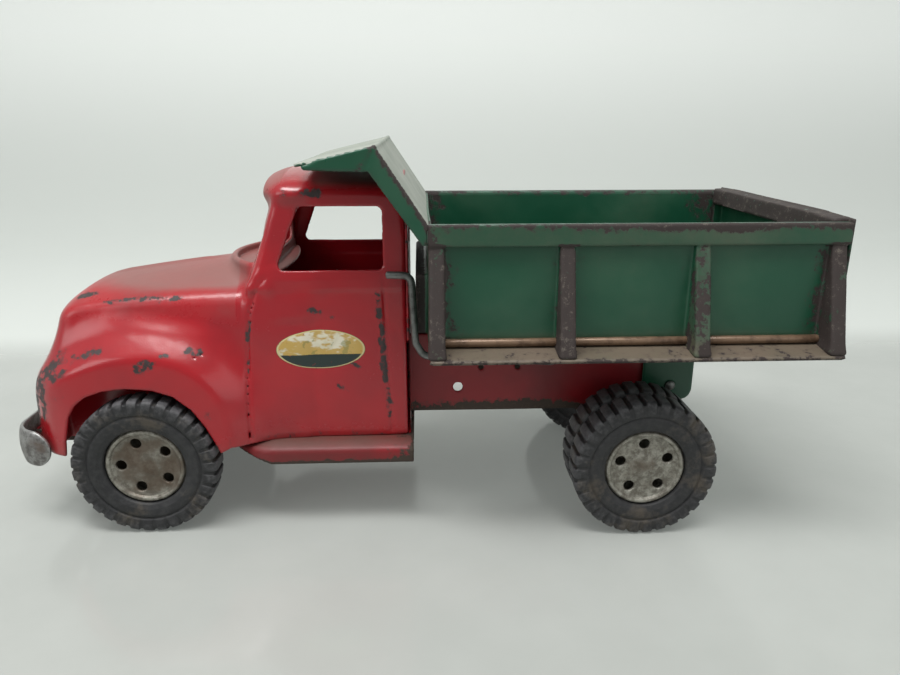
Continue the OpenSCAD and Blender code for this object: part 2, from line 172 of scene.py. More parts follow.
NEAR = 1.8  # a coarse cell is looked into if the surface is nearer than this many cells
FAR = 1e3   # stands for the distance in cells that are not looked into


def surface_net(field, low, high, cell, coarse=4):
    """Meshes a field inside a box. Returns the vertices, their normals and the quads.

    A coarse grid finds where the surface is, and only those cells are worked out finely."""
    low = np.array(low, float)
    blocks = np.ceil((np.array(high, float) - low) / (cell * coarse)).astype(int)
    axes = [low[i] + cell * np.arange(blocks[i] * coarse + 1) for i in range(3)]
    rough_axes = [a[::coarse] for a in axes]
    rough = field(*np.meshgrid(*rough_axes, indexing="ij"))

    def corners(grid, shape):
        """Eight views of a grid, one for each corner of its cells."""
        return [grid[tuple(slice(c, c + n) for c, n in zip(corner, shape))]
                for corner in itertools.product((0, 1), repeat=3)]

    def refined(grid):
        for axis in range(3):
            grid = np.repeat(grid, coarse, axis)
        return grid

    active = refined(np.min(np.abs(corners(rough, blocks)), 0) < cell * coarse * NEAR)
    near = np.zeros([len(a) for a in axes], bool)
    for view in corners(near, active.shape):
        view |= active
    sign = refined(np.sign(rough))[tuple(slice(n) for n in near.shape)]
    values = (sign * FAR).astype(np.float32)
    values[near] = field(*[axis[i] for axis, i in zip(axes, np.nonzero(near))])
    solid = values < 0
    shape = [n - 1 for n in values.shape]
    count = sum(view.astype(np.int8) for view in corners(solid, shape))
    cells = np.argwhere((count > 0) & (count < 8))
    number = np.full(shape, -1, np.int32)
    number[tuple(cells.T)] = np.arange(len(cells))

    total = np.zeros((len(cells), 3))
    crossings = np.zeros(len(cells))
    for axis, p, q in itertools.product(range(3), (0, 1), (0, 1)):
        start, end = np.insert([p, q], axis, 0), np.insert([p, q], axis, 1)
        v0 = values[tuple((cells + start).T)].astype(float)
        v1 = values[tuple((cells + end).T)].astype(float)
        cut = (v0 < 0) != (v1 < 0)
        t = np.where(cut, v0 / np.where(cut, v0 - v1, 1), 0)
        total += np.where(cut[:, None], start + t[:, None] * (end - start), 0)
        crossings += cut
    vertices = low + cell * (cells + total / crossings[:, None])

    quads = []
    unit = np.eye(3, dtype=int)
    for axis in range(3):
        b, c = (axis + 1) % 3, (axis + 2) % 3
        edges = np.argwhere(np.diff(solid, axis=axis))
        edges = edges[((edges > 0) & (edges < shape))[:, [b, c]].all(1)]
        ring = np.stack([number[tuple((edges - db * unit[b] - dc * unit[c]).T)]
                         for db, dc in ((1, 1), (0, 1), (0, 0), (1, 0))], 1)
        flip = ~solid[tuple(edges.T)]
        ring[flip] = ring[flip][:, ::-1]
        quads.append(ring)
    quads = np.concatenate(quads)

    for turn in range(3):
        step = cell * 0.2
        base = field(*vertices.T)
        slope = np.stack([field(*(vertices + step * np.eye(3)[i]).T) - base for i in range(3)], 1)
        length = np.linalg.norm(slope, axis=1, keepdims=True)
        normals = slope / np.maximum(length, 1e-9)
        if turn < 2:
            move = base[:, None] / np.maximum(length / step, 0.3)
            vertices = vertices - normals * np.clip(move, -0.5 * cell, 0.5 * cell)
    return vertices, normals, quads


def convexity(vertices, normals, quads, spacing):
    """How much each vertex stands proud of its neighbours: near 1 on a sharp outer edge."""
    n = len(vertices)
    sides = [(quads[:, i], quads[:, (i + 1) % 4]) for i in range(4)]
    sides += [(b, a) for a, b in sides]
    pull = sum(np.bincount(a, ((vertices[a] - vertices[b]) * normals[a]).sum(1), n)
               for a, b in sides)
    count = np.maximum(sum(np.bincount(a, minlength=n) for a, b in sides), 1)
    result = pull / count / spacing
    for _ in range(2):
        total = sum(np.bincount(a, result[b], n) for a, b in sides)
        result = 0.4 * result + 0.6 * total / count
    return np.clip(result * 4, 0, 1)


def ring_quads(rows, columns, closed=False):
    """Quads over rows of points. Each row is a closed ring, and the rows may form one too."""
    i, j = np.meshgrid(np.arange(rows if closed else rows - 1), np.arange(columns),
                       indexing="ij")
    here, ahead = i * columns, (i + 1) % rows * columns
    k = (j + 1) % columns
    return np.stack([here + j, here + k, ahead + k, ahead + j], -1).reshape(-1, 4)


def near_line(vertices, points, reach):
    """1 on a line through some points, falling to 0 well beyond reach."""
    best = np.full(len(vertices), 1e9)
    for a, b in zip(points, points[1:]):
        best = np.minimum(best, capsule(*vertices.T, a, b, 0.0))
    return bell(best, reach)


def piece(name, vertices, faces, body, material, replaced, slot, **marks):
    """Makes a smooth-shaded mesh from arrays in millimetres, and sets it on its body.

    Each mark is a number per vertex, or one for all, which the material reads."""
    mesh = bpy.data.meshes.new(name)
    faces = np.asarray(faces)
    mesh.vertices.add(len(vertices))
    mesh.vertices.foreach_set("co", (np.asarray(vertices) * MM).astype(np.float32).ravel())
    mesh.loops.add(faces.size)
    mesh.loops.foreach_set("vertex_index", faces.astype(np.int32).ravel())
    mesh.polygons.add(len(faces))
    starts = np.arange(0, faces.size, faces.shape[1], dtype=np.int32)
    mesh.polygons.foreach_set("loop_start", starts)
    mesh.polygons.foreach_set("use_smooth", np.ones(len(faces), bool))
    for key, values in marks.items():
        values = np.broadcast_to(values, len(vertices)).astype(np.float32)
        mesh.attributes.new(key, "FLOAT", "POINT").data.foreach_set("value", values)
    mesh.update(calc_edges=True)
    mesh.validate()
    mesh.materials.append(material)
    made = bpy.data.objects.new(name, mesh)
    bpy.context.scene.collection.objects.link(made)
    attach(made, body)
    if replaced:
        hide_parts(*replaced)
    return made


def pressed(name, node, field, below, above, cell, body, material, slot, wear=None,
            mirror_of=None):
    """Meshes a field as the piece that replaces a CAD node, in the node's box and a margin.

    wear(vertices, edges) gives the worn and the dirty share. With mirror_of, the field is drawn
    for that node on the other side, and its mesh is mirrored."""
    low, high = box_mm(mirror_of or node)
    vertices, normals, quads = surface_net(field, low - below, high + above, cell)
    edges = convexity(vertices, normals, quads, cell)
    worn, dirty = wear(vertices, edges) if wear else (edges, 0)
    if mirror_of:
        vertices = vertices * np.array([1, -1, 1])
        quads = quads[:, ::-1]
    return piece(name, vertices, quads, body, material, [node], slot,
                 worn=np.clip(worn, 0, 1), dirty=np.clip(dirty, 0, 1))


# ---------- materials ----------

def linear(screen):
    """A linear colour from screen values between 0 and 255."""
    shares = [v / 255 for v in screen]
    return [v / 12.92 if v <= 0.04045 else ((v + 0.055) / 1.055) ** 2.4 for v in shares] + [1]


MIX_A, MIX_B, MIX_RESULT = 6, 7, 2  # the colour sockets of a Mix node


class Nodes:
    """A node tree under construction, with one shader and one kind of coordinates."""

    def __init__(self, owner, shader, output, coordinates):
        owner.use_nodes = True
        self.tree = owner.node_tree
        self.tree.nodes.clear()
        self.shader = self.new(shader)
        self.link(self.shader.outputs[0], self.new(output).inputs["Surface"])
        self.place = self.new("TexCoord").outputs[coordinates]

    def new(self, kind):
        return self.tree.nodes.new("ShaderNode" + kind)

    def link(self, source, target):
        """Joins an output, or sets a constant. Three numbers are a colour's screen values."""
        if isinstance(source, bpy.types.NodeSocket):
            self.tree.links.new(source, target)
        else:
            target.default_value = linear(source) if isinstance(source, tuple) else source

    def set(self, name, source):
        self.link(source, self.shader.inputs[name])

    def noise(self, size, detail=4.0, roughness=0.55, stretch=(1, 1, 1), offset=0.0):
        """Noise whose features are about size millimetres across."""
        mapping = self.new("Mapping")
        self.link(self.place, mapping.inputs["Vector"])
        mapping.inputs["Location"].default_value = (offset, offset * 0.7, offset * 1.3)
        mapping.inputs["Scale"].default_value = [1 / s for s in stretch]
        node = self.new("TexNoise")
        self.link(mapping.outputs[0], node.inputs["Vector"])
        node.inputs["Scale"].default_value = 1 / (size * MM)
        node.inputs["Detail"].default_value = detail
        node.inputs["Roughness"].default_value = roughness
        return node.outputs["Fac"]

    def axis(self, name):
        """One coordinate, X, Y or Z."""
        node = self.new("SeparateXYZ")
        self.link(self.place, node.inputs[0])
        return node.outputs[name]

    def mark(self, name):
        """A value stored on the mesh's vertices."""
        node = self.new("Attribute")
        node.attribute_name = name
        return node.outputs["Fac"]

    def math(self, operation, a, b=0.0):
        node = self.new("Math")
        node.operation = operation
        self.link(a, node.inputs[0])
        self.link(b, node.inputs[1])
        return node.outputs[0]

    def sum(self, *terms):
        """Adds (value, factor) pairs."""
        total = self.math("MULTIPLY", *terms[0])
        for value, factor in terms[1:]:
            total = self.math("ADD", total, self.math("MULTIPLY", value, factor))
        return total

    def step(self, value, low, high, to_low=0.0, to_high=1.0):
        """A smooth step between two values."""
        node = self.new("MapRange")
        node.interpolation_type = "SMOOTHSTEP"
        self.link(value, node.inputs["Value"])
        for key, constant in (("From Min", low), ("From Max", high),
                              ("To Min", to_low), ("To Max", to_high)):
            node.inputs[key].default_value = constant
        return node.outputs["Result"]

    def mix(self, share, a, b, most=None):
        """Colour a where share is 0 and b where it is 1. The share may be scaled by most."""
        if most is not None:
            share = self.math("MULTIPLY", share, most)
        node = self.new("Mix")
        node.data_type = "RGBA"
        for source, socket in ((share, 0), (a, MIX_A), (b, MIX_B)):
            self.link(source, node.inputs[socket])
        return node.outputs[MIX_RESULT]

    def bump(self, height, depth, below=None):
        """Bumps of a depth in millimetres, on top of other bumps if they are given."""
        node = self.new("Bump")
        node.inputs["Distance"].default_value = depth * MM
        self.link(height, node.inputs["Height"])
        if below is not None:
            self.link(below, node.inputs["Normal"])
        return node.outputs["Normal"]


class Finish(Nodes):
    """A material in the object's own coordinates."""

    def __init__(self, name):
        self.material = bpy.data.materials.new(name)
        super().__init__(self.material, "BsdfPrincipled", "OutputMaterial", "Object")


def worn_paint(name, paint, faded, primer, bare, dust, chips, gloss=0.32, patch=7.0,
               coat=0.0):
    """Enamel on steel. It wears through to primer, then to bare metal, where "worn" is high."""
    f = Finish(name)
    worn, dirty = f.mark("worn"), f.mark("dirty")
    slow = f.noise(34, 3)
    patches = f.noise(patch, 5, 0.62, offset=0.31)
    flecks = f.noise(2.1, 5, 0.65, offset=0.73)
    grain = f.noise(0.5, 3, 0.6, offset=0.12)
    colour = f.mix(f.step(slow, 0.38, 0.64), paint, faded)
    colour = f.mix(f.step(f.sum((dirty, 1.0), (slow, 0.55), (flecks, 0.25)), 0.55, 1.6, 0, 0.9),
                   colour, dust)
    lost = f.sum((patches, 0.95), (flecks, 0.7), (grain, 0.15), (worn, chips))
    rubbed = f.step(lost, 1.18, 1.32)
    chipped = f.step(lost, 1.31, 1.36)
    deep = f.step(f.sum((lost, 1.0), (grain, 0.5)), 1.8, 2.0)
    under = f.mix(f.step(flecks, 0.42, 0.62), primer, bare)
    colour = f.mix(rubbed, colour, primer, 0.35)
    colour = f.mix(chipped, colour, primer)
    colour = f.mix(deep, colour, under, 0.75)
    f.set("Base Color", colour)
    rough = f.sum((slow, 0.22), (flecks, 0.12), (chipped, 0.3), (dirty, 0.25))
    f.set("Roughness", f.math("ADD", rough, gloss - 0.17))
    if coat:
        f.set("Coat Weight", f.step(f.sum((chipped, 1.0), (dirty, 1.0)), 0, 0.6, coat, 0))
        f.set("Coat Roughness", 0.16)
    dents = f.bump(slow, 0.9)
    skin = f.bump(f.sum((grain, 1.0), (flecks, 0.6)), 0.035, dents)
    f.set("Normal", f.bump(chipped, -0.07, skin))
    return f.material


def bare_metal(name, light, dark, stain, metallic, roughness, size, stained):
    """Worn metal with mottling, stains and pits."""
    f = Finish(name)
    worn = f.mark("worn")
    slow = f.noise(9, 4, offset=0.2)
    mottle = f.noise(size, 6, 0.7, offset=0.5)
    grain = f.noise(0.45, 4, 0.6, offset=0.9)
    colour = f.mix(f.step(f.sum((mottle, 1.0), (worn, 0.2)), 0.38, 0.66), dark, light)
    colour = f.mix(f.step(f.sum((slow, 1.0), (mottle, 0.5), (worn, -0.35), (f.mark("dirty"), 0.4)),
                          1.0 - 0.4 * stained, 1.25 - 0.4 * stained, 0, 0.8), colour, stain)
    pits = f.step(f.sum((grain, 1.0), (mottle, 0.3)), 0.82, 0.92)
    colour = f.mix(pits, colour, dark, 0.6)
    f.set("Base Color", colour)
    f.set("Metallic", metallic)
    f.set("Roughness", f.sum((mottle, 0.35), (pits, 0.2), (1.0, roughness - 0.17)))
    f.set("Normal", f.bump(f.sum((grain, 0.5), (mottle, 1.0), (pits, -0.8)), 0.12))
    return f.material


def tyre_rubber():
    """Old black rubber, greyed on its edges, with dried mud in patches."""
    f = Finish("tyre_rubber")
    worn = f.mark("worn")
    slow = f.noise(14, 4, offset=0.4)
    mottle = f.noise(2.4, 6, 0.65)
    grain = f.noise(0.4, 4, 0.6, offset=0.7)
    colour = f.mix(f.step(mottle, 0.35, 0.7), (32, 32, 34), (50, 50, 51))
    colour = f.mix(f.step(f.sum((slow, 1.0), (mottle, 0.45)), 0.74, 0.98, 0, 0.75),
                   colour, (80, 72, 62))
    colour = f.mix(f.step(f.sum((worn, 0.6), (mottle, 1.0)), 0.72, 1.3, 0, 0.7),
                   colour, (96, 95, 98))
    f.set("Base Color", colour)
    f.set("Roughness", f.sum((mottle, 0.3), (1.0, 0.42)))
    f.set("Normal", f.bump(f.sum((grain, 0.5), (mottle, 1.0)), 0.12))
    return f.material


def decal_print():
    """A plain oval badge: a pale field with ochre hills over a dark lower part, and no words."""
    f = Finish("decal_print")
    across, up, rim = f.mark("across"), f.mark("up"), f.mark("rim")
    flecks = f.noise(1.6, 6, 0.7)
    blots = f.noise(6, 3, 0.5, stretch=(1.6, 1, 0.8), offset=0.37)
    field = f.mix(f.step(f.noise(9, 2), 0.4, 0.6), (205, 198, 172), (222, 216, 196))
    hills = f.step(f.sum((blots, 1.0), (up, -0.12), (across, 0.06)), 0.4, 0.46)
    colour = f.mix(hills, field, (186, 148, 52), 0.85)
    leaves = f.step(f.sum((f.noise(4.5, 3, offset=0.8), 1.0), (up, -0.1)), 0.56, 0.6)
    colour = f.mix(leaves, colour, (112, 122, 70), 0.5)
    ground = f.step(f.sum((up, 1.0), (flecks, 0.05)), -0.25, -0.21, 1, 0)
    colour = f.mix(ground, colour, (38, 50, 47))
    colour = f.mix(f.step(rim, 0.905, 0.925), colour, (205, 190, 140))
    colour = f.mix(f.step(rim, 0.95, 0.965), colour, (40, 38, 36))
    scuffed = f.step(f.sum((flecks, 1.0), (rim, 0.12)), 0.72, 0.76)
    colour = f.mix(scuffed, colour, (150, 44, 50), 0.8)
    f.set("Base Color", colour)
    f.set("Roughness", f.sum((flecks, 0.2), (1.0, 0.28)))
    f.set("Normal", f.bump(flecks, 0.03))
    return f.material


red_paint = worn_paint("red_paint", (164, 22, 32), (150, 22, 32), (56, 46, 46),
                       (92, 84, 80), (136, 98, 93), 0.5, gloss=0.22, patch=3.6, coat=0.3)
green_paint = worn_paint("green_paint", (20, 74, 52), (36, 82, 60), (52, 43, 41),
                         (106, 98, 90), (108, 90, 78), 0.62)
rusty_red = worn_paint("rusty_red", (132, 20, 28), (112, 22, 28), (60, 48, 40), (78, 66, 54),
                       (86, 62, 54), 0.62, gloss=0.36, patch=5.0)
shield_paint = worn_paint("shield_paint", (158, 162, 152), (140, 146, 136), (112, 104, 96),
                          (92, 84, 76), (126, 118, 104), 0.5, gloss=0.5)
hub_zinc = bare_metal("hub_zinc", (160, 158, 148), (104, 99, 90), (84, 68, 54),
                      0.45, 0.42, 3.0, 0.5)
bead_rust = bare_metal("bead_rust", (122, 98, 78), (84, 64, 50), (60, 47, 40),
                       0.3, 0.34, 5.0, 0.5)
plated_steel = bare_metal("plated_steel", (158, 158, 156), (96, 92, 90), (96, 78, 68),
                          0.7, 0.42, 4.0, 0.7)
dull_steel = bare_metal("dull_steel", (122, 124, 122), (74, 74, 72), (86, 68, 56),
                        0.75, 0.4, 5.0, 0.35)
rubber = tyre_rubber()
decal = decal_print()


# ---------- cab ----------

SHEET = 1.3
CAB_REAR = -1.5
DOOR_FRONT = -66.0


def door_side(z):
    """Half of the width over the doors at a height."""
    above = np.log1p(np.exp(np.clip((z - 62) / 3, -30, 30))) * 3
    below = np.log1p(np.exp(np.clip((56 - z) / 3, -30, 30))) * 3
    return 40.5 - 0.066 * above - 0.03 * below


FRONT_SEAM = [(-66.0, 38), (-66.2, 52), (-66.2, 66), (-65.6, 80), (-64.2, 91), (-62.6, 97),
              (-60.4, 101.5), (-57.6, 104.5)]
REAR_SEAM = [(-8.2, 38), (-8.6, 48), (-9.4, 70), (-10.2, 95), (-10.6, 108)]


def cab_form(x, y, z):
    """The cab's outer form."""
    w = np.abs(y)
    t = x + 70
    ridge = 0.9 * bell(w, 1.9) * smooth(x, -134, -124) * (1 - smooth(x, -92, -78))
    crown = 108.4 + 0.105 * t - 0.0005 * t * t + ridge
    arch = 0.0063 + 0.00005 * np.clip(x + 121, -10, 60)
    top = z - crown + arch * w * w
    lean = np.clip(z - 76, 0, 40)
    side = w - (36.6 + 0.055 * np.clip(x + 125, 0, 70)) + 0.0075 * lean ** 2
    nx = np.minimum(x - 0.006 * w * w + 120, 0) / 34
    nz = np.maximum(z - 58, 0) / 56
    nose = (np.sqrt(nx * nx + nz * nz) - 1) * 38
    hood = common(2.4, top, side * 0.93)
    hood = smooth_max(hood, nose, 5.0)
    hood = smooth_max(hood, 0.755 * (z - 100.2) - 0.656 * (x + 135), 4.0)
    hood = smooth_max(hood, x + 40, 6.0)

    door_top = z - 108.6 + 0.012 * np.clip(-40 - x, 0, 40)
    door_front = DOOR_FRONT - x + 0.06 * np.clip(z - 92, 0, 20) ** 1.5
    door = common(3.0, w - door_side(z), door_top, door_front)

    # the fender's flank ends at a crease round the wheel, outside which it slopes inwards
    fx = np.where(x < -106, (x + 106) / 46, (x + 106) / 31)
    fz = np.maximum(z - 38, 0) / 37
    beyond = (np.abs(fx) ** 2.2 + fz ** 2.2) ** (1 / 2.2) - 1
    beyond = 0.5 * (beyond + np.sqrt(beyond ** 2 + 0.0035))
    ahead = fx * fx / (fx * fx + fz * fz + 1e-6)
    fall = 38 * (1 - ahead) + ahead * np.where(x < -106, 70, 17)
    slope = 1.02 * (1 - ahead) + ahead * np.where(x < -106, 1.55, 0.55)
    flank = (w - 50.7 + fall * beyond) / np.sqrt(1 + slope ** 2)
    cap = z - 87.6 - 0.16 * (38 - w) + 0.0035 * (x + 121) ** 2 * np.where(x > -121, 0.9, 1.4)
    fender = smooth_max(flank, cap, 2.0)
    egg = np.abs(np.minimum(x + 106, 0) / 54) ** 2.15 + (np.maximum(z - 38, 0) / 54) ** 2.15
    plan = np.hypot(np.minimum(x + 128, 0) / 31.5, np.maximum(w - 22, 0) / 28.9) - 1
    fender = common(3.0, fender, 52 * (egg ** (1 / 2.15) - 1), 29 * plan, 20 - w)

    cowl_plan = (np.sqrt(((x + 45) / 32.5) ** 2 + (w / 38.5) ** 2) - 1) * 33
    cowl = common(2.0, cowl_plan, z - 110.0, 90 - z, x + 30)

    lower = smooth_min(hood, fender, 5.0)
    lower = smooth_min(lower, cowl, 4.0)
    lower = smooth_min(lower, door, 2.2)
    lower = lower - door_relief(x, z) * smooth(w, 26, 34)

    front = -66.8 + 0.0042 * w * w + 0.356 * (z - 109)
    pillar = w - 37.6 + 0.11 * (z - 108)
    roof = z - 145.0 + 0.0035 * w * w + 0.0009 * np.clip(x + 30, -30, 30) ** 2
    house = smooth_max(common(3.0, pillar, front - x), roof, 5.0)
    house = smooth_max(house, 100 - z, 1.0)
    visor = ellipsoid(x, y, z, (-45.5, 0, 137.2), (18.2, 36, 8.2))
    house = smooth_min(house, visor, 3.0)
    return smooth_max(smooth_min(lower, house, 1.2), x, 4.0)


def door_relief(x, z):
    """Height of the door over the skin round it, with a groove at its front and rear seams."""
    front = x - np.interp(z, [p[1] for p in FRONT_SEAM], [p[0] for p in FRONT_SEAM])
    rear = np.interp(z, [p[1] for p in REAR_SEAM], [p[0] for p in REAR_SEAM]) - x
    seen = smooth(z, 36, 40) * (1 - smooth(z, 104, 107))
    lift = 0.35 * smooth(front, -0.4, 1.6) * smooth(rear, -0.2, 1.0) * seen
    groove = (0.6 * bell(front, 0.9) + 0.4 * bell(rear, 0.8)) * seen
    pimples = 0.9 * bump_at(x, z, (-65.3, 101.5), (2.8, 3.2))
    pimples = pimples + 0.8 * bump_at(x, z, (-56.4, 101.0), (2.6, 3.4))
    return lift - groove + pimples


def round_hole(u, v, half_u, half_v, r):
    """A round-cornered opening. The corners' centres are half_u and half_v from its middle."""
    return np.hypot(np.maximum(u - half_u, 0), np.maximum(np.abs(v) - half_v, 0)) - r


def cab_openings(x, y, z):
    """The space cut out of the cab: underside, arches, windows, grille and rear."""
    w = np.abs(y)
    sides = 29 - w
    under = outline(x, z, [(30, -20), (30, 37.4), (-74, 36.4), (-80, 33.4), (-138, 33.4),
                           (-200, 33.0), (-200, -20)])
    arch_line = [(-144, 10), (-139.8, 40), (-136.7, 51.0), (-133.5, 55.8), (-129, 59.4),
                 (-122, 61.8), (-113, 62.8), (-103, 62.0), (-95, 59.2), (-88.5, 53.6),
                 (-83.5, 46), (-79, 36), (-76, 10)]
    arches = np.maximum(outline(x, z, arch_line) - 0.4, sides)
    window = outline(x, z, [(-49.6, 110.1), (-12.6, 110.1), (-12.6, 130.4), (-41.6, 130.4)])
    windows = np.maximum(window - 2.2, sides)
    screen = np.maximum(round_hole(w, z - 121, 24, 5.5, 4.5), x + 36)
    grille = round_box(x, w, z, (-180, -40, 41), (-149, 29, 70.5), 4.0)
    return union(under, arches, windows, screen, grille)


def cab_field(x, y, z):
    """The cab as a pressed shell, with the trough in front of the windshield."""
    w = np.abs(y)
    form = cab_form(x, y, z)
    plan = (np.sqrt(((x + 45) / 30) ** 2 + (w / 36.4) ** 2) - 1) * 31
    floor = 106.0 + 0.06 * np.clip(-x - 55, 0, 30)
    trough = np.maximum(np.maximum(plan, floor - z), x + 58)
    form = smooth_max(form, -trough, 1.2)
    shell = smooth_max(form, -(form + SHEET), 0.5)
    shelf = common(0.6, np.abs(z - floor + 0.6) - 0.6, plan + 0.4,
                   x + 50.5 + 0.004 * w * w, -x - 74)
    lining = common(0.6, slab(x, -148.6, -147.4), form + 0.4, slab(z, 33.6, 78))
    well = common(0.6, slab(w, 27.2, 28.4), form + 0.4, slab(z, 33.6, 82), slab(x, -148, -72))
    shell = union(shell, np.maximum(shelf, w - 35.5), lining, well)
    shell = smooth_max(shell, -cab_openings(x, y, z), 0.7)
    shell = smooth_max(shell, x - CAB_REAR, 0.5)
    return shell + 0.05 * ripple(x, y, z, 30, 4)


def cab_skin(x, z, side):
    """Distance from the middle plane out to the cab's skin, found from outside it."""
    w = np.full(np.shape(x), 47.0)
    for _ in range(40):
        w = w - 0.8 * cab_field(x, side * w, z)
    return w


CAB_CHIPS = [  # points of the left side's chip lines, with their reach and strength
    ([(-155, -36, 48), (-153.5, -39, 60), (-149, -42, 68), (-141, -44, 76)], 4.4, 1.1),
    ([(-149, -43, 68), (-142, -45, 73), (-133, -46, 77), (-124, -46, 78)], 3.0, 1.0),
    ([(-150, -44, 50), (-148, -44.5, 62)], 3.0, 0.95),
    ([(-145, -46.5, 66), (-138, -48, 70)], 3.0, 0.95),
    ([(-106.5, -49.5, 72), (-102.5, -49.5, 73)], 2.6, 1.3),
    ([(-97.5, -48, 76), (-96, -48, 76)], 1.3, 1.15),
    ([(-131, -44, 81), (-127, -44, 82)], 2.0, 0.95),
    ([(-150, -42, 77), (-152, -42, 72)], 2.2, 1.0),
    ([(-143, -49, 58), (-138, -50, 60)], 2.0, 0.9),
    ([(-122, -33, 95.5), (-108, -33.5, 96.5), (-92, -35, 97)], 2.0, 0.95),
    ([(-136, -26, 97), (-131, -26, 98)], 2.8, 1.3),
    ([(-48, -34, 137), (-39, -33.5, 138), (-35, -33.5, 138)], 2.2, 1.05),
    ([(-139, -50, 47), (-132, -51, 58), (-122, -51, 62)], 1.2, 0.8),
    ([(-82, -49, 52), (-80, -47, 46)], 1.6, 1.0),
    ([(-13, -39.5, 98), (-11.5, -40, 86), (-10.5, -40.5, 62)], 1.8, 0.98),
    ([(-9.4, -40.5, 58), (-9.0, -40.5, 46)], 1.4, 1.0),
    ([(-88, -44.5, 77.5), (-84.5, -44, 76.3)], 1.7, 1.2),
    ([(-137, -40, 86), (-133, -41, 87)], 2.0, 0.95),
    ([(-119, -43, 87), (-116, -43, 87)], 1.6, 0.95),
    ([(-131, -46.5, 79), (-126, -46.5, 80)], 2.0, 0.95),
    ([(-30, -40, 60), (-26, -40, 58)], 1.2, 0.95),
    ([(-45, -40, 50), (-43, -40, 49)], 1.0, 1.0),
    ([(-34, -40.5, 88), (-30, -40.3, 89)], 1.3, 0.95),
    ([(-72, -44, 52), (-70, -43, 48)], 1.3, 0.9),
    ([(-24, -40, 70), (-21, -40, 68)], 1.4, 0.85),
    ([(-40, -39.6, 92), (-36, -39.6, 91)], 1.5, 0.9),
    ([(-58, -40, 74), (-57, -40, 73)], 1.2, 0.95),
]


def cab_wear(v, edges):
    """Chips along the cab's creases and edges, and dust on its upper faces."""
    seam = [(x, -40.5 + 0.02 * max(z - 62, 0), z) for x, z in FRONT_SEAM]
    lines = CAB_CHIPS + [(seam[3:], 1.2, 1.35), (seam[:4], 1.0, 0.85)]
    worn = 0.45 * edges
    for points, reach, strength in lines:
        for side in (1, -1):
            line = [(x, side * y, z) for x, y, z in points]
            worn = np.maximum(worn, 1.18 * strength * near_line(v, line, 1.15 * reach))
    x, y, z = v.T
    w = np.abs(y)
    worn = np.maximum(worn, 0.55 * bell(z - 38, 3.0))
    dusty = 0.72 * smooth(z, 96, 101) * (1 - smooth(w, 28, 34)) * (x < -50)
    dusty = dusty + 0.7 * smooth(z, 138, 142) * smooth(x, -42, -34)
    dusty = dusty + 0.35 * smooth(z, 84, 92) * (x < -70)
    trough = ((x + 45) / 31) ** 2 + (w / 37) ** 2 < 1
    dusty = np.where(trough & (z < 109.3) & (z > 100) & (x < -48), 1.25, dusty)
    low = 1 - smooth(z, 34, 50)
    return worn, dusty + 0.45 * low


def build_cab():
    pressed("cab_body", "cab_shell", cab_field, (6.5, 1.5, 1.5), 1.5, 0.8, "chassis", red_paint,
            "red_paint", cab_wear)


WALL_SECTION_X = -8  # where the cab's outline is taken for its back wall


def build_back_wall():
    foot = box_mm("cab_back_panel")[0][2] + 0.3

    def field(x, y, z):
        w = np.abs(y)
        section = cab_form(x * 0 + WALL_SECTION_X, y, z)
        wall = common(0.5, section + 0.2, slab(x, CAB_REAR + 0.05, -0.3))
        passage = np.maximum(w - 26.6, z - 78)
        for opening in (round_hole(w, z - 120, 18, 6, 4), passage):
            wall = smooth_max(wall, -opening, 0.5)
        return np.maximum(wall, foot - z)
    pressed("cab_rear_wall", "cab_back_panel", field, 1, 1, 0.9, "chassis", red_paint,
            "red_paint", lambda v, e: (0.7 * e, 0.3))


def build_running_boards():
    low, high = box_mm("floor_pan")

    def field(x, y, z):
        w = np.abs(y)
        tip = np.clip((-58 - x) / 15.5, 0, 1)
        edge = 48.5 - 8 * tip ** 1.6
        drop = 0.045 * np.clip(w - 41, 0, 10) ** 2
        top = z - 36.9 + drop + 2.2 * tip
        skin = common(1.6, top, w - edge)
        shell = smooth_max(skin, -(skin + 1.2), 0.4)
        return common(0.5, shell, low[0] - x, x - high[0], 28.4 + 4.6 * tip - z)

    def wear(v, edges):
        x, y, z = v.T
        worn = 0.85 * edges + 0.6 * (1 - smooth(z, 29, 33)) + 0.5 * smooth(x, -16, -4)
        return worn, 0.35 + 0.6 * smooth(z, 34, 36.5)
    pressed("running_boards", "floor_pan", field, 3, 1, 0.7, "chassis", rusty_red,
            "red_paint", wear)


def build_bumper():
    """A strip across the front, with round corners and round ends."""
    low, high = box_mm("front_bumper")
    middle = (low[2] + high[2]) / 2
    half = (high[2] - low[2]) / 2
    bend_x, bend_y, bend_r = low[0] + 15, 32, 14.3
    end_from = 49.5  # along the strip from the middle plane

    def field(x, y, z):
        w = np.abs(y)
        dx, dy = bend_x - x, np.maximum(w - bend_y, 0)
        bent = w > bend_y
        r = np.where(bent, np.hypot(dx, dy), dx)
        along = np.where(bent, bend_y + bend_r * np.arctan2(dy, np.maximum(dx, 1e-6)), w)
        along = np.where(bent & (dx < 0), bend_y + bend_r * math.pi / 2 - dx, along)
        depth = np.abs(r - bend_r + 0.02 * (z - middle) ** 2) - 0.7
        face = np.hypot(np.maximum(along - end_from, 0), z - middle) - half
        return common(0.6, depth, face) + 0.12 * ripple(x, y, z, 16, 8)
    pressed("bumper", "front_bumper", field, 1.5, 1.5, 0.6, "chassis", plated_steel,
            "worn_plate")


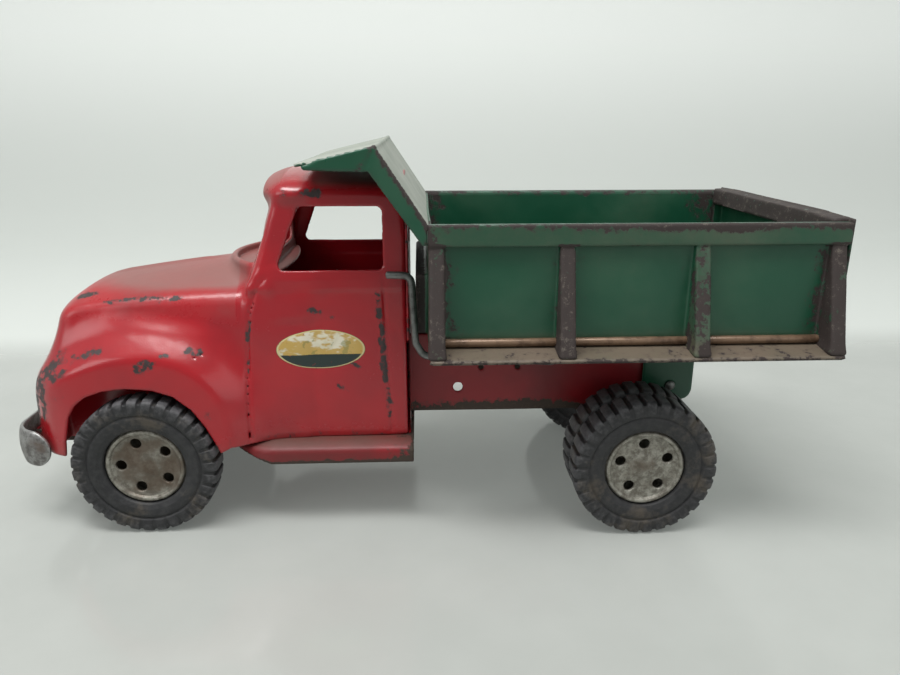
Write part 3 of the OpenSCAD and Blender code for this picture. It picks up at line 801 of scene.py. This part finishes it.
def build_grille():
    """A plate with a slotted panel between two headlamps."""
    low, high = box_mm("front_grille")
    face = high[0] - 1.0
    lamp_y, lamp_z, lamp_r = 21, 57, 6.6
    panel = [(-13.5, 41), (13.5, 41), (13.5, 67), (-13.5, 67)]
    bars = [43.4 + 4.2 * level for level in range(6)]

    def field(x, y, z):
        w = np.abs(y)
        plate = round_box(x, w, z, (face - 1.2, -9, low[2] - 4), (face, high[1], high[2]), 0.5)
        plate = smooth_max(plate, -common(0.6, w - 13.2, slab(z, 41, 67), -x - 180), 0.6)
        bezel = np.hypot(np.hypot(w - lamp_y, z - lamp_z) - lamp_r, x - face + 1.3) - 1.1
        lens = ellipsoid(x, w, z, (face - 0.6, lamp_y, lamp_z), (3.4, 6.2, 6.2))
        rim = np.hypot(outline(w, z, panel), x - face + 1.2) - 1.0
        rods = [np.maximum(np.hypot((x - face + 0.8) * 0.8, z - level) - 1.0, w - 13.6)
                for level in bars]
        return union(plate, bezel, np.maximum(lens, x - face), rim, *rods)
    pressed("grille", "front_grille", field, 3, 2, 0.6, "chassis", plated_steel, "worn_plate")


DECAL_X, DECAL_Z = -36.3, 75.8
DECAL_LONG, DECAL_HIGH = 18.6, 8.4  # half of its size


def build_decals():
    """Oval badges that lie on the doors, with their rims tucked into the skin."""
    rings, spokes = 14, 72
    share, angle = np.meshgrid(np.arange(rings + 1) / rings,
                               2 * math.pi * np.arange(spokes) / spokes, indexing="ij")
    share, angle = share.ravel(), angle.ravel()
    across, up = share * np.cos(angle), share * np.sin(angle)
    x, z = DECAL_X + DECAL_LONG * across, DECAL_Z + DECAL_HIGH * up
    quads = ring_quads(rings + 1, spokes)
    for side, name, replaced in ((-1, "left", ["door_decals"]), (1, "right", [])):
        y = side * (cab_skin(x, z, side) + np.where(share < 1, 0.12, -0.1))
        piece(f"decal_{name}", np.stack([x, y, z], 1), quads[:, ::side], "chassis", decal,
              replaced, "decal", across=across, up=up, rim=share)


# ---------- wheels ----------

LUGS = 31
TYRE_R, TYRE_WIDTH = 29.5, 13.0
LUG_DEPTH = 1.35
HOLES, HOLE_CIRCLE, HOLE_R = 5, 10.2, 2.15


def tyre_section():
    """The tyre's outline from the bore's outer edge over the tread to the other side.

    Each point is (radius, distance from the outer face, share of the lug's depth)."""
    half = [(16.4, 3.6, 0), (16.6, 1.8, 0), (17.2, 1.1, 0), (18.5, 0.95, 0), (18.8, 0.7, 0),
            (19.3, 0.6, 0), (21.2, 0.42, 0), (22.3, 0.4, 0), (22.6, 0.8, 0), (23.2, 0.85, 0),
            (23.5, 0.3, 0), (24.0, 0.05, 0.35), (25.0, 0.0, 0.8), (26.4, 0.0, 1),
            (27.6, 0.1, 1), (28.4, 0.4, 1), (29.0, 0.95, 1), (29.35, 1.8, 1), (29.5, 3.2, 1),
            (29.5, 5.2, 1), (29.5, 6.3, 1)]
    back = [(r, TYRE_WIDTH - d, lug) for r, d, lug in half[::-1]]
    return np.array(half + back)


def outer_face(low, high):
    """The outward direction along y of a wheel's piece, and the place of its outer face."""
    return (-1, low[1]) if low[1] < 0 else (1, high[1])


def build_tyre(name, node, body, turn, seed):
    low, high = box_mm(node)
    centre = (low + high) / 2
    scale = (high[0] - low[0]) / 2 / TYRE_R
    outward, face = outer_face(low, high)
    # one lug and the gap after it, as places along its pitch and depths of the gap
    pitch = np.array([0, 0.15, 0.3, 0.45, 0.55, 0.6, 0.63, 0.66, 0.71, 0.8, 0.88, 0.93, 0.97])
    depth = np.array([0, 0, 0, 0, 0, 0.06, 0.5, 0.94, 1, 1, 0.94, 0.5, 0.06])
    angles = np.concatenate([(i + pitch) / LUGS for i in range(LUGS)]) * 2 * math.pi
    cut = np.tile(depth, LUGS)[:, None]
    rng = np.random.default_rng(seed)
    ragged = np.repeat(rng.uniform(0.8, 1.15, LUGS), len(pitch))[:, None]
    section_r, section_in, tread = tyre_section().T
    side_share = np.clip((29.45 - section_r) / 1.4, 0, 1)
    radius = section_r - LUG_DEPTH * tread * cut * ragged * (1 - 0.9 * side_share)
    inset = section_in + 0.5 * tread * cut * ragged * side_share * np.sign(
        TYRE_WIDTH / 2 - section_in)
    a = (angles + turn)[:, None]
    x = centre[0] + scale * radius * np.cos(a)
    z = centre[2] + scale * radius * np.sin(a)
    y = face - outward * inset * (high[1] - low[1]) / TYRE_WIDTH
    vertices = np.stack([x, y, z], -1).reshape(-1, 3)
    quads = ring_quads(len(angles), len(section_r), closed=True)[:, ::-outward]
    piece(name, vertices, quads, body, rubber, [node], "tyre_rubber",
          worn=(tread * (1 - cut) * (1 - 0.4 * side_share)).ravel())


def build_hub(name, node, body, hole_angle, seed):
    """A dished disc with five holes, on a barrel that closes with a plate at the back."""
    low, high = box_mm(node)
    centre = (low + high) / 2
    outward, face = outer_face(low, high)
    back = high[1] - low[1]
    reach = (high[0] - low[0]) / 2
    angles = [math.radians(hole_angle + 360 / HOLES * i) for i in range(HOLES)]

    def field(x, y, z):
        dx, dz = x - centre[0], z - centre[2]
        r = np.hypot(dx, dz)
        depth = outward * (face - y)
        dish = 1.7 + 0.45 * np.clip((13.4 - r) / 2, 0, 1) - 0.9 * np.exp(-(r / 5.4) ** 4)
        dish = dish + 0.1 * ripple(x, y, z, 7, seed) * (r < 12)
        disc = common(0.5, slab(depth, dish, dish + 1.5), r - reach + 0.4)
        lip = np.hypot(r - reach + 1.5, depth - 1.3) - 0.9
        barrel = common(0.5, slab(r, reach - 1.4, reach - 0.15), slab(depth, 1.5, back - 1.4))
        boss = common(0.5, r - 4.1, slab(depth, 2.0, back - 0.2))
        plate = common(0.5, slab(depth, 8.6, 9.6), r - reach + 0.6)
        solid = union(smooth_min(np.minimum(disc, barrel), lip, 0.8), boss, plate)
        for a in angles:
            hole = np.hypot(dx - HOLE_CIRCLE * math.cos(a),
                            dz - HOLE_CIRCLE * math.sin(a)) - HOLE_R
            solid = smooth_max(solid, -np.maximum(hole, depth - 8), 0.6)
        if node.endswith("inner_hub"):
            solid = np.maximum(solid, 1.75 - r)
        return solid
    stain = 0.5 if name.startswith("front") else 0.12

    def wear(v, edges):
        r = np.hypot(v[:, 0] - centre[0], v[:, 2] - centre[2])
        return 0.2 * edges, stain * (1.3 - smooth(r, 8, 19))
    pressed(name, node, field, 0.6, 0.6, 0.45, body, hub_zinc, "plated_hub", wear)


WHEELS = [  # name, body, and the angles of the hub's first hole in degrees and the tread
    ("front_left", "front_left_wheel", 108, 0.35),
    ("front_right", "front_right_wheel", 50, 1.3),
    ("rear_left_outer", "rear_left_duals", 93, 0.9),
    ("rear_left_inner", "rear_left_duals", 60, 0.2),
    ("rear_right_outer", "rear_right_duals", 20, 2.0),
    ("rear_right_inner", "rear_right_duals", 5, 2.6),
]


def build_wheels():
    for seed, (name, body, hole_angle, turn) in enumerate(WHEELS):
        build_tyre(f"{name}_tyre_tread", f"{name}_tyre", body, turn, seed)
        build_hub(f"{name}_hub_disc", f"{name}_hub", body, hole_angle, seed + 20)


# ---------- bed ----------

bed_low, bed_high = box_mm("bed_left_side")
PANEL_END = bed_high[0] - 0.8
RIB_W = 6.0
RIBS = [bed_low[0], 55.7, 106.1, PANEL_END - RIB_W]
PANEL = 60.0  # from the middle plane to the panel's outer face
RIM = 62.0    # and to the rim's


def bed_side_field(x, y, z):
    """One side of the bed, drawn for the left and mirrored for the right."""
    w = -y
    bay = np.zeros(np.shape(x))
    for a, b in zip(RIBS, RIBS[1:]):
        t = np.clip((x - a - RIB_W / 2) / (b - a), 0, 1)
        bay = np.maximum(bay, np.sin(math.pi * t) ** 2)
    rise = np.sin(math.pi * np.clip((z - 82) / 42, 0, 1)) ** 2
    bulge = 0.7 * bay * rise - 0.45 + 0.22 * ripple(x, y * 0, z, 46, 3)
    side = common(0.4, slab(w - bulge, PANEL - 1.3, PANEL - 0.1),
                  slab(x, bed_low[0], PANEL_END), slab(z, 81.6, 128.4))
    wave = 0.15 * ripple(x, y * 0, z * 0, 60, 5)
    top = bed_high[2]
    rim = outline(w - wave, z, [
        (RIM, top), (RIM, top - 7.8), (RIM - 0.9, top - 7.8), (RIM - 0.9, top - 1.2),
        (PANEL - 1.2, top - 1.2), (PANEL - 1.2, top)]) - 0.15
    rim = smooth_max(rim, slab(x, bed_low[0], bed_high[0]), 0.4)
    reach = RIM - 0.6 + np.clip(121.5 - z, 0, 60) * 0.258
    face = w - reach + 0.15 * ripple(x, y * 0, z, 18, 11)
    flare = 0.5 * bell(z - 81, 2.5) - 0.05
    for a in RIBS:
        post = common(1.3, face, slab(x, a - flare, a + RIB_W + flare), PANEL - 1.2 - w,
                      slab(z, 80.6, 122.4))
        side = smooth_min(side, post, 0.8)
    return np.minimum(side, rim)


def bed_side_wear(v, edges):
    """Posts and the rim's upper part are worn to primer, and the paint beside them is stained."""
    x, y, z = v.T
    w = np.abs(y)
    outer = w > PANEL - 0.6
    below_rim = z < 122
    proud = smooth(w, PANEL + 0.2, PANEL + 1.2) * below_rim
    shares = [0.5 * edges]
    for a, share in zip(RIBS, (1.08, 1.0, 0.74, 1.0)):
        off = np.abs(x - a - RIB_W / 2)
        fade = 1 - 0.35 * smooth(z, 108, 120) * (share < 0.9)
        shares.append(share * fade * np.exp(-(off / 4.8) ** 6) * proud)
        wide = a in (RIBS[0], RIBS[-1])
        halo = 0.84 * bell(off, 10.0) if wide else 0.6 * np.exp(-off / 7.0)
        shares.append(halo * (outer & below_rim))
    rim = smooth(z, 122.5, 128.5) * (w > PANEL + 0.4)
    ends = smooth(x, 132, 160) + (1 - smooth(x, 8, 28))
    shares += [rim * (0.6 + 0.3 * smooth(x, 30, 100)) + 0.4 * edges * rim,
               0.8 * bump_at(x, z, (7, 126), (7, 9)) * outer,
               0.8 * ends * ~outer, 0.66 * smooth(z, 123, 129) * ~outer]
    worn = functools.reduce(np.maximum, shares)
    return worn, 0.2 + 0.3 * bell(z - 84, 4) + 0.25 * (w > PANEL + 1.5)


def build_beads():
    """The round bead along the foot of each side, between the posts."""
    for side, name in ((-1, "left"), (1, "right")):
        for i, (a, b) in enumerate(zip(RIBS, RIBS[1:])):
            start = (a + RIB_W - 0.4, side * (PANEL + 0.9), 84.3)
            vertices, quads = swept_rod([start, (b + 0.4, start[1], start[2])], 1.65, 1.0, 20)
            piece(f"bead_{name}_{i}", vertices, quads, "dump_bed", bead_rust, [],
                  "green_paint", worn=0.4, dirty=0)


def build_bed_sides():
    left, right = "bed_left_side", "bed_right_side"
    for name, node, mirror_of in (("bed_side_left", left, None), ("bed_side_right", right, left)):
        pressed(name, node, bed_side_field, 1, 1, 0.75, "dump_bed", green_paint, "green_paint",
                bed_side_wear, mirror_of)


def build_bed_floor():
    """The load floor, and the sloping ledge outside each side."""
    low, high = box_mm("bed_floor")

    def field(x, y, z):
        w = np.abs(y)
        sag = 0.2 * ripple(x, y, z * 0, 50, 9)
        plate = np.maximum(slab(z - sag, 79.3, 80.5), w - 61)
        ledge = outline(w, z, [(58, 80.2), (60.2, 82.5), (72.0, 80.5), (72.0, 79.2),
                               (70.8, 79.2), (70.8, 79.6), (60, 81.2), (58, 79.2)]) - 0.1
        return smooth_max(smooth_min(plate, ledge, 0.6), slab(x, low[0], high[0]), 0.5)

    def wear(v, edges):
        ledge = smooth(np.abs(v[:, 1]), 60, 62)
        return 0.4 * edges + 0.4 + 0.05 * ledge, 0.2 + ledge
    pressed("bed_base", "bed_floor", field, 1, 1, 1.0, "dump_bed", green_paint,
            "green_paint", wear)


def build_bed_front():
    low, high = box_mm("bed_front_wall")

    def field(x, y, z):
        bow = 0.35 * ripple(x * 0, y, z, 50, 15)
        wall = round_box(x - bow, y, z, (low[0], low[1], low[2] - 3.0), high, 0.5)
        # The fold stands in the dark gap between cab and bed, behind the lever.
        fold = round_box(x, np.abs(y), z, (low[0] - 4.9, -1, 82), (low[0] + 0.6, 40.5, 106.5),
                         1.2)
        return smooth_min(wall, fold, 1.0)

    def wear(v, edges):
        x, y, z = v.T
        corner = bell(56 - np.abs(y), 8)
        # Painted shade: the fold ahead of the wall is worn almost all over to dark primer, which
        # paints the shade of the gap between cab and bed.
        return 0.6 * edges + 0.45 * corner + 0.9 * (x < low[0] - 1), 0.3
    pressed("bed_front", "bed_front_wall", field, 5.5, 1.2, 0.9, "dump_bed", green_paint,
            "green_paint", wear)


SHIELD_TIP, SHIELD_CREASE, SHIELD_FOOT = (-40.4, 149.4), (-11.0, 156.2), (7.7, 127.8)
SHIELD_HALF = 61.7
CORNER_R = 11.1


def stretch(x, z, a, b):
    """Distance in the xz plane to the stretch from a to b."""
    return capsule(x, 0 * x, z, (a[0], 0, a[1]), (b[0], 0, b[1]), 0)


def build_shield():
    """The half-cab protector: grey above, green on its sides and below."""
    corner_x, corner_w = -29.5, SHIELD_HALF - CORNER_R

    def field(x, y, z):
        w = np.abs(y)
        wave = 0.35 * ripple(x, y, z * 0, 55, 6)
        zz = z - wave * np.clip(1 - w / 62, 0, 1) ** 0.5
        fold = smooth_min(stretch(x, zz, SHIELD_TIP, SHIELD_CREASE),
                          stretch(x, zz, SHIELD_CREASE, SHIELD_FOOT), 1.2) - 0.55
        corner = np.hypot(np.maximum(corner_x - x, 0), np.maximum(w - corner_w, 0)) - CORNER_R
        corner = np.where((x < corner_x) & (w > corner_w), corner, w - SHIELD_HALF)
        flange = outline(x, z, [(-36.8, 149.8), (-31, 151.5), (-11, 156.4), (7.3, 129.0),
                                (7.3, 121.6), (5.4, 121.6), (-13.3, 147.7), (-36.0, 148.4)])
        flange = common(0.5, flange, slab(w, 60.8, 61.95))
        seam = np.hypot(stretch(x, z, (-14.2, 149.0), (-11.4, 155.5)), w - 62.2) - 0.6
        solid = smooth_min(common(0.5, fold, corner), flange, 0.7)
        return smooth_max(solid, -seam, 0.4)

    def wear(v, edges):
        x, y, z = v.T
        side = np.abs(y) > 60.4
        fold = [(-16, 0, 150), (-11, 0, 155.5), (7, 0, 128)]
        rust = near_line(np.stack([x, 0 * x, z], 1), fold, 1.7)
        return 0.5 * edges + 0.72 * rust * side, 0.2 * ~side
    made = pressed("shield", "cab_shield", field, 1.5, 1.5, 0.75, "dump_bed", shield_paint,
                   "worn_grey_paint", wear)
    made.data.materials.append(green_paint)
    polygons = made.data.polygons
    normals, centres = np.zeros((2, len(polygons) * 3), np.float32)
    polygons.foreach_get("normal", normals)
    polygons.foreach_get("center", centres)
    top = (normals[2::3] > 0.3) & (np.abs(centres[1::3]) < 61.4 * MM)
    polygons.foreach_set("material_index", np.where(top, 0, 1).astype(np.int32))


def build_tailgate():
    """A flat sheet with a folded rail along its top and a return at each end."""
    low, high = box_mm("tailgate")

    def field(x, y, z):
        w = np.abs(y)
        sag = 0.3 * ripple(x * 0, y, z * 0, 70, 21) - 0.5 * np.clip((w - 40) / 20, 0, 1)
        wobble = 0.1 * ripple(x * 0, y, z, 26, 22)
        top = high[2] - 0.5 + sag
        sheet = common(0.4, slab(x, high[0] - 1.0, high[0] - 0.05), w - 60.8,
                       slab(z, low[2], top))
        rail = outline(x - wobble, z - sag, [
            (165.2, 130.6), (159.6, 130.0), (159.2, 124.6), (158.9, 122.8), (160.0, 122.8),
            (160.5, 128.6), (164.6, 129.3)]) - 0.12
        rail = common(0.4, rail, w - 56.2)
        caps = common(0.4, slab(w, 55.2, 56.3), slab(x, 159.6, high[0] - 0.2),
                      slab(z, 82.0, top - 0.4))
        return smooth_min(smooth_min(sheet, rail, 0.6), caps, 0.5)

    def wear(v, edges):
        rail = np.clip((v[:, 2] - 121) / 2, 0, 1)
        return 0.6 * edges + 0.85 * rail + 0.2, 0.1
    pressed("gate", "tailgate", field, 1, 1.5, 0.8, "tailgate", green_paint, "green_paint",
            wear)


HINGE_X, HINGE_Z = 114, 53


def build_brackets():
    low, high = box_mm("bed_hinge_brackets")

    def field(x, y, z):
        shape = common(6.0, low[0] - x, x - high[0], low[2] - z)
        plate = common(0.4, np.maximum(shape, z - high[2]),
                       slab(np.abs(y), high[1] - 1.2, high[1]))
        return smooth_max(plate, 1.7 - np.hypot(x - HINGE_X, z - HINGE_Z), 0.3)
    pressed("hinge_plates", "bed_hinge_brackets", field, 1, 1, 0.7, "dump_bed", green_paint,
            "green_paint", lambda v, e: (0.5 * e, 0.2))


def build_hinge_pin():
    low, high = box_mm("hinge_pin")
    end = high[1]

    def field(x, y, z):
        w = np.abs(y)
        shaft = np.maximum(np.hypot(x - HINGE_X, z - HINGE_Z) - 1.55, w - end + 1.2)
        head = ellipsoid(x, w, z, (HINGE_X, end - 1.35, HINGE_Z), (2.3, 1.5, 2.3))
        return smooth_min(shaft, np.maximum(head, end - 1.35 - w), 0.3)
    room = np.array((3, end + 0.5, 3))
    middle = np.array((HINGE_X, 0, HINGE_Z))
    pressed("bed_hinge_pin", "hinge_pin", field, low - middle + room, middle + room - high, 0.4,
            "dump_bed", dull_steel, "bare_steel", lambda v, e: (e, 0.6))


# ---------- frame ----------

RAIL_HOLES = [(20.4, 52.9, 2.1), (30.5, 62, 1.2), (46.5, 62, 1.2)]  # x, z, radius


def build_rails():
    """The channel's two sides, with rust along their lower edges."""
    low, high = box_mm("frame_left_rail")
    edge = [(-164, 30.7), (-136, 30.7), (-121, low[2]), (-97, low[2]), (-86, 42), (73, 42),
            (83, low[2]), (107, low[2]), (112, 36), (high[0], 47), (high[0], high[2]),
            (-55, high[2]), (-60, 60), (-134, 60), (-139, 36), (-164, 35.8)]

    def field(x, y, z):
        wave = 0.12 * ripple(x, y * 0, z * 0, 80, 31)
        plate = smooth_max(outline(x, z + wave, edge) - 0.1, slab(np.abs(y), 24.8, 26.0), 0.4)
        for hole_x, hole_z, r in RAIL_HOLES:
            plate = smooth_max(plate, r - np.hypot(x - hole_x, z - hole_z), 0.4)
        return plate

    def wear(v, edges):
        x, y, z = v.T
        rust = 0.8 + 0.4 * bell(x - 42, 26)
        return 0.6 * edges + rust * (1 - smooth(z, 42.5, 51)), 0.2
    for name in ("left", "right"):
        pressed(f"rail_{name}", f"frame_{name}_rail", field, 1, 1, 0.7, "chassis", rusty_red,
                "red_paint", wear)


# ---------- lever ----------

def swept_rod(points, radius, bend, sides=16):
    """A round rod along straight stretches with round bends. Returns vertices and quads."""
    points = [Vector(p) for p in points]
    path = [points[0]]
    for before, here, after in zip(points, points[1:], points[2:]):
        a, b = (before - here).normalized(), (after - here).normalized()
        angle = a.angle(b)
        cut = min(bend / math.tan(angle / 2), 0.45 * (before - here).length,
                  0.45 * (after - here).length)
        start, end = here + a * cut, here + b * cut
        for i in range(9):
            t = i / 8
            path.append(start * (1 - t) ** 2 + here * 2 * t * (1 - t) + end * t ** 2)
    path.append(points[-1])
    rings = []
    for i, point in enumerate(path):
        rings.append((point, path[min(i + 1, len(path) - 1)] - path[max(i - 1, 0)], radius))
    for share in (0.5, 0.86, 1.0):  # the domed ends
        r = radius * math.sqrt(max(1 - share ** 2, 0.001))
        for tip, way, at in ((path[0], path[1] - path[0], 0),
                             (path[-1], path[-1] - path[-2], len(rings) + 1)):
            out = way.normalized() * (radius * 0.55 * share)
            rings.insert(at, (tip + out if at else tip - out, way, r))
    vertices = []
    side = Vector((0, 1, 0))
    for centre, ahead, r in rings:
        ahead = ahead.normalized()
        if abs(side.dot(ahead)) < 0.98:
            side = (side - ahead * side.dot(ahead)).normalized()
        else:
            side = ahead.orthogonal().normalized()
        up = ahead.cross(side)
        for j in range(sides):
            a = 2 * math.pi * j / sides
            vertices.append(centre + side * r * math.cos(a) + up * r * math.sin(a))
    return np.array([tuple(v) for v in vertices]), ring_quads(len(rings), sides)


def build_lever():
    low, high = box_mm("dump_lever")
    radius = 1.5
    y = low[1] + radius
    route = [(low[0] + radius, y, 107.0), (0.9, y, 106.7), (2.2, y + 0.2, 79.0),
             (5.4, y, 73.4), (60.0, y, 70.0), (60.0, high[1] - 0.2, 70.0)]
    vertices, quads = swept_rod(route, radius, 4.0)
    piece("lever_rod", vertices, quads, "lever", dull_steel, ["dump_lever"], "bare_steel",
          worn=0.3, dirty=0)


# ---------- the CAD nodes that stay ----------

def finish_cad_nodes():
    for material, names in (
            (rusty_red, ("frame_deck", "bumper_tabs")),
            (plated_steel, ("bumper_rivets",)),
            (dull_steel, ("front_axle", "rear_axle", "front_axle_spacers", "rear_axle_spacers",
                          "tailgate_pins", "lift_arm", "lever_washer"))):
        for name in names:
            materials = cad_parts[name].data.materials
            materials.clear()
            materials.append(material)


# ---------- stage ----------

def build_stage():
    """A glossy white table that curves up into a backdrop."""
    depth, reach, radius, height, half_width = 1.5, 4.0, 0.9, 6.0, 12
    profile = [(-reach, 0.0), (depth - radius, 0.0)]
    for i in range(1, 13):
        a = math.pi / 2 * i / 12
        profile.append((depth - radius + radius * math.sin(a), radius - radius * math.cos(a)))
    profile.append((depth, height))
    vertices = [(x, y, z) for x in (-half_width, half_width) for y, z in profile]
    n = len(profile)
    faces = [[i, n + i, n + i + 1, i + 1] for i in range(n - 1)]
    mesh = bpy.data.meshes.new("table")
    mesh.from_pydata(vertices, [], faces)
    for polygon in mesh.polygons:
        polygon.use_smooth = True
    f = Finish("table_white")
    # Painted shade and light: the one white sheet is coloured darker on the floor than on the
    # backdrop, and the backdrop goes from darker at its foot to lighter higher up.
    far = f.step(f.axis("Y"), 0.16, 0.24)
    smudges = f.step(f.noise(90, 5, 0.6), 0.3, 0.7)
    floor = f.mix(smudges, (157, 159, 155), (164, 166, 162))
    high = f.step(f.axis("Z"), 0.02, 0.4)
    f.set("Base Color", f.mix(far, floor, f.mix(high, (198, 201, 197), (248, 250, 247))))
    f.set("Emission Color", (238, 246, 240))
    f.set("Emission Strength", 0.11)
    f.set("Roughness", f.sum((smudges, 0.05), (far, 0.5), (1.0, 0.12)))
    mesh.materials.append(f.material)
    table = bpy.data.objects.new("table", mesh)
    bpy.context.scene.collection.objects.link(table)
    table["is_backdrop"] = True


def area_light(name, place, target, size, power):
    """A rectangular light aimed at a point. The camera doesn't see the light itself."""
    data = bpy.data.lights.new(name, "AREA")
    data.shape = "RECTANGLE"
    data.size, data.size_y = size
    data.energy = power
    light = bpy.data.objects.new(name, data)
    light.visible_camera = False
    light.location = place
    light.rotation_euler = (Vector(target) - Vector(place)).to_track_quat("-Z", "Y").to_euler()
    bpy.context.scene.collection.objects.link(light)


def build_lights():
    """A light tent: bright above and behind the truck, darker on the camera's side."""
    world = bpy.data.worlds.new("studio")
    sky = Nodes(world, "Background", "OutputWorld", "Generated")
    sky.set("Color", [0.92, 0.95, 0.93, 1])
    behind = sky.step(sky.axis("Y"), -0.6, 0.3, 0.34, 0.74)
    above = sky.step(sky.axis("Z"), 0.35, 0.9, 0.0, 0.9)
    sky.set("Strength", sky.math("MAXIMUM", behind, above))
    bpy.context.scene.world = world
    area_light("overhead", (-0.15, -0.3, 1.15), (0, 0, 0), (0.9, 0.3), 12)
    area_light("left_window", (-1.2, -0.8, 0.8), (0, 0, 0.08), (0.7, 0.7), 4)
    area_light("right_fill", (0.9, -0.9, 0.45), (0.1, 0, 0), (0.9, 0.6), 1.5)


def build_camera():
    """The photograph's viewpoint: close, a little above, facing the truck's left side."""
    data = bpy.data.cameras.new("camera")
    data.sensor_width = 36
    data.lens = 28.354
    data.clip_start = 0.01
    camera = bpy.data.objects.new("camera", data)
    camera.location = (0.0046, -0.3164, 0.1665)
    camera.rotation_euler = (math.radians(90 - 17.35), 0, math.radians(-2.43))
    bpy.context.scene.collection.objects.link(camera)
    bpy.context.scene.camera = camera


for build in (build_camera, build_lights, build_stage, build_cab, build_back_wall,
              build_running_boards, build_bumper, build_grille, build_decals, build_wheels,
              build_bed_sides, build_beads, build_bed_floor, build_bed_front, build_shield,
              build_tailgate, build_brackets, build_hinge_pin, build_rails, build_lever,
              finish_cad_nodes):
    build()
bpy.context.scene.view_settings.view_transform = "Standard"

boxes = {"cad": cad_box, "visual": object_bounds()}
{k: [list(a), list(b)] for k, (a, b) in boxes.items()}
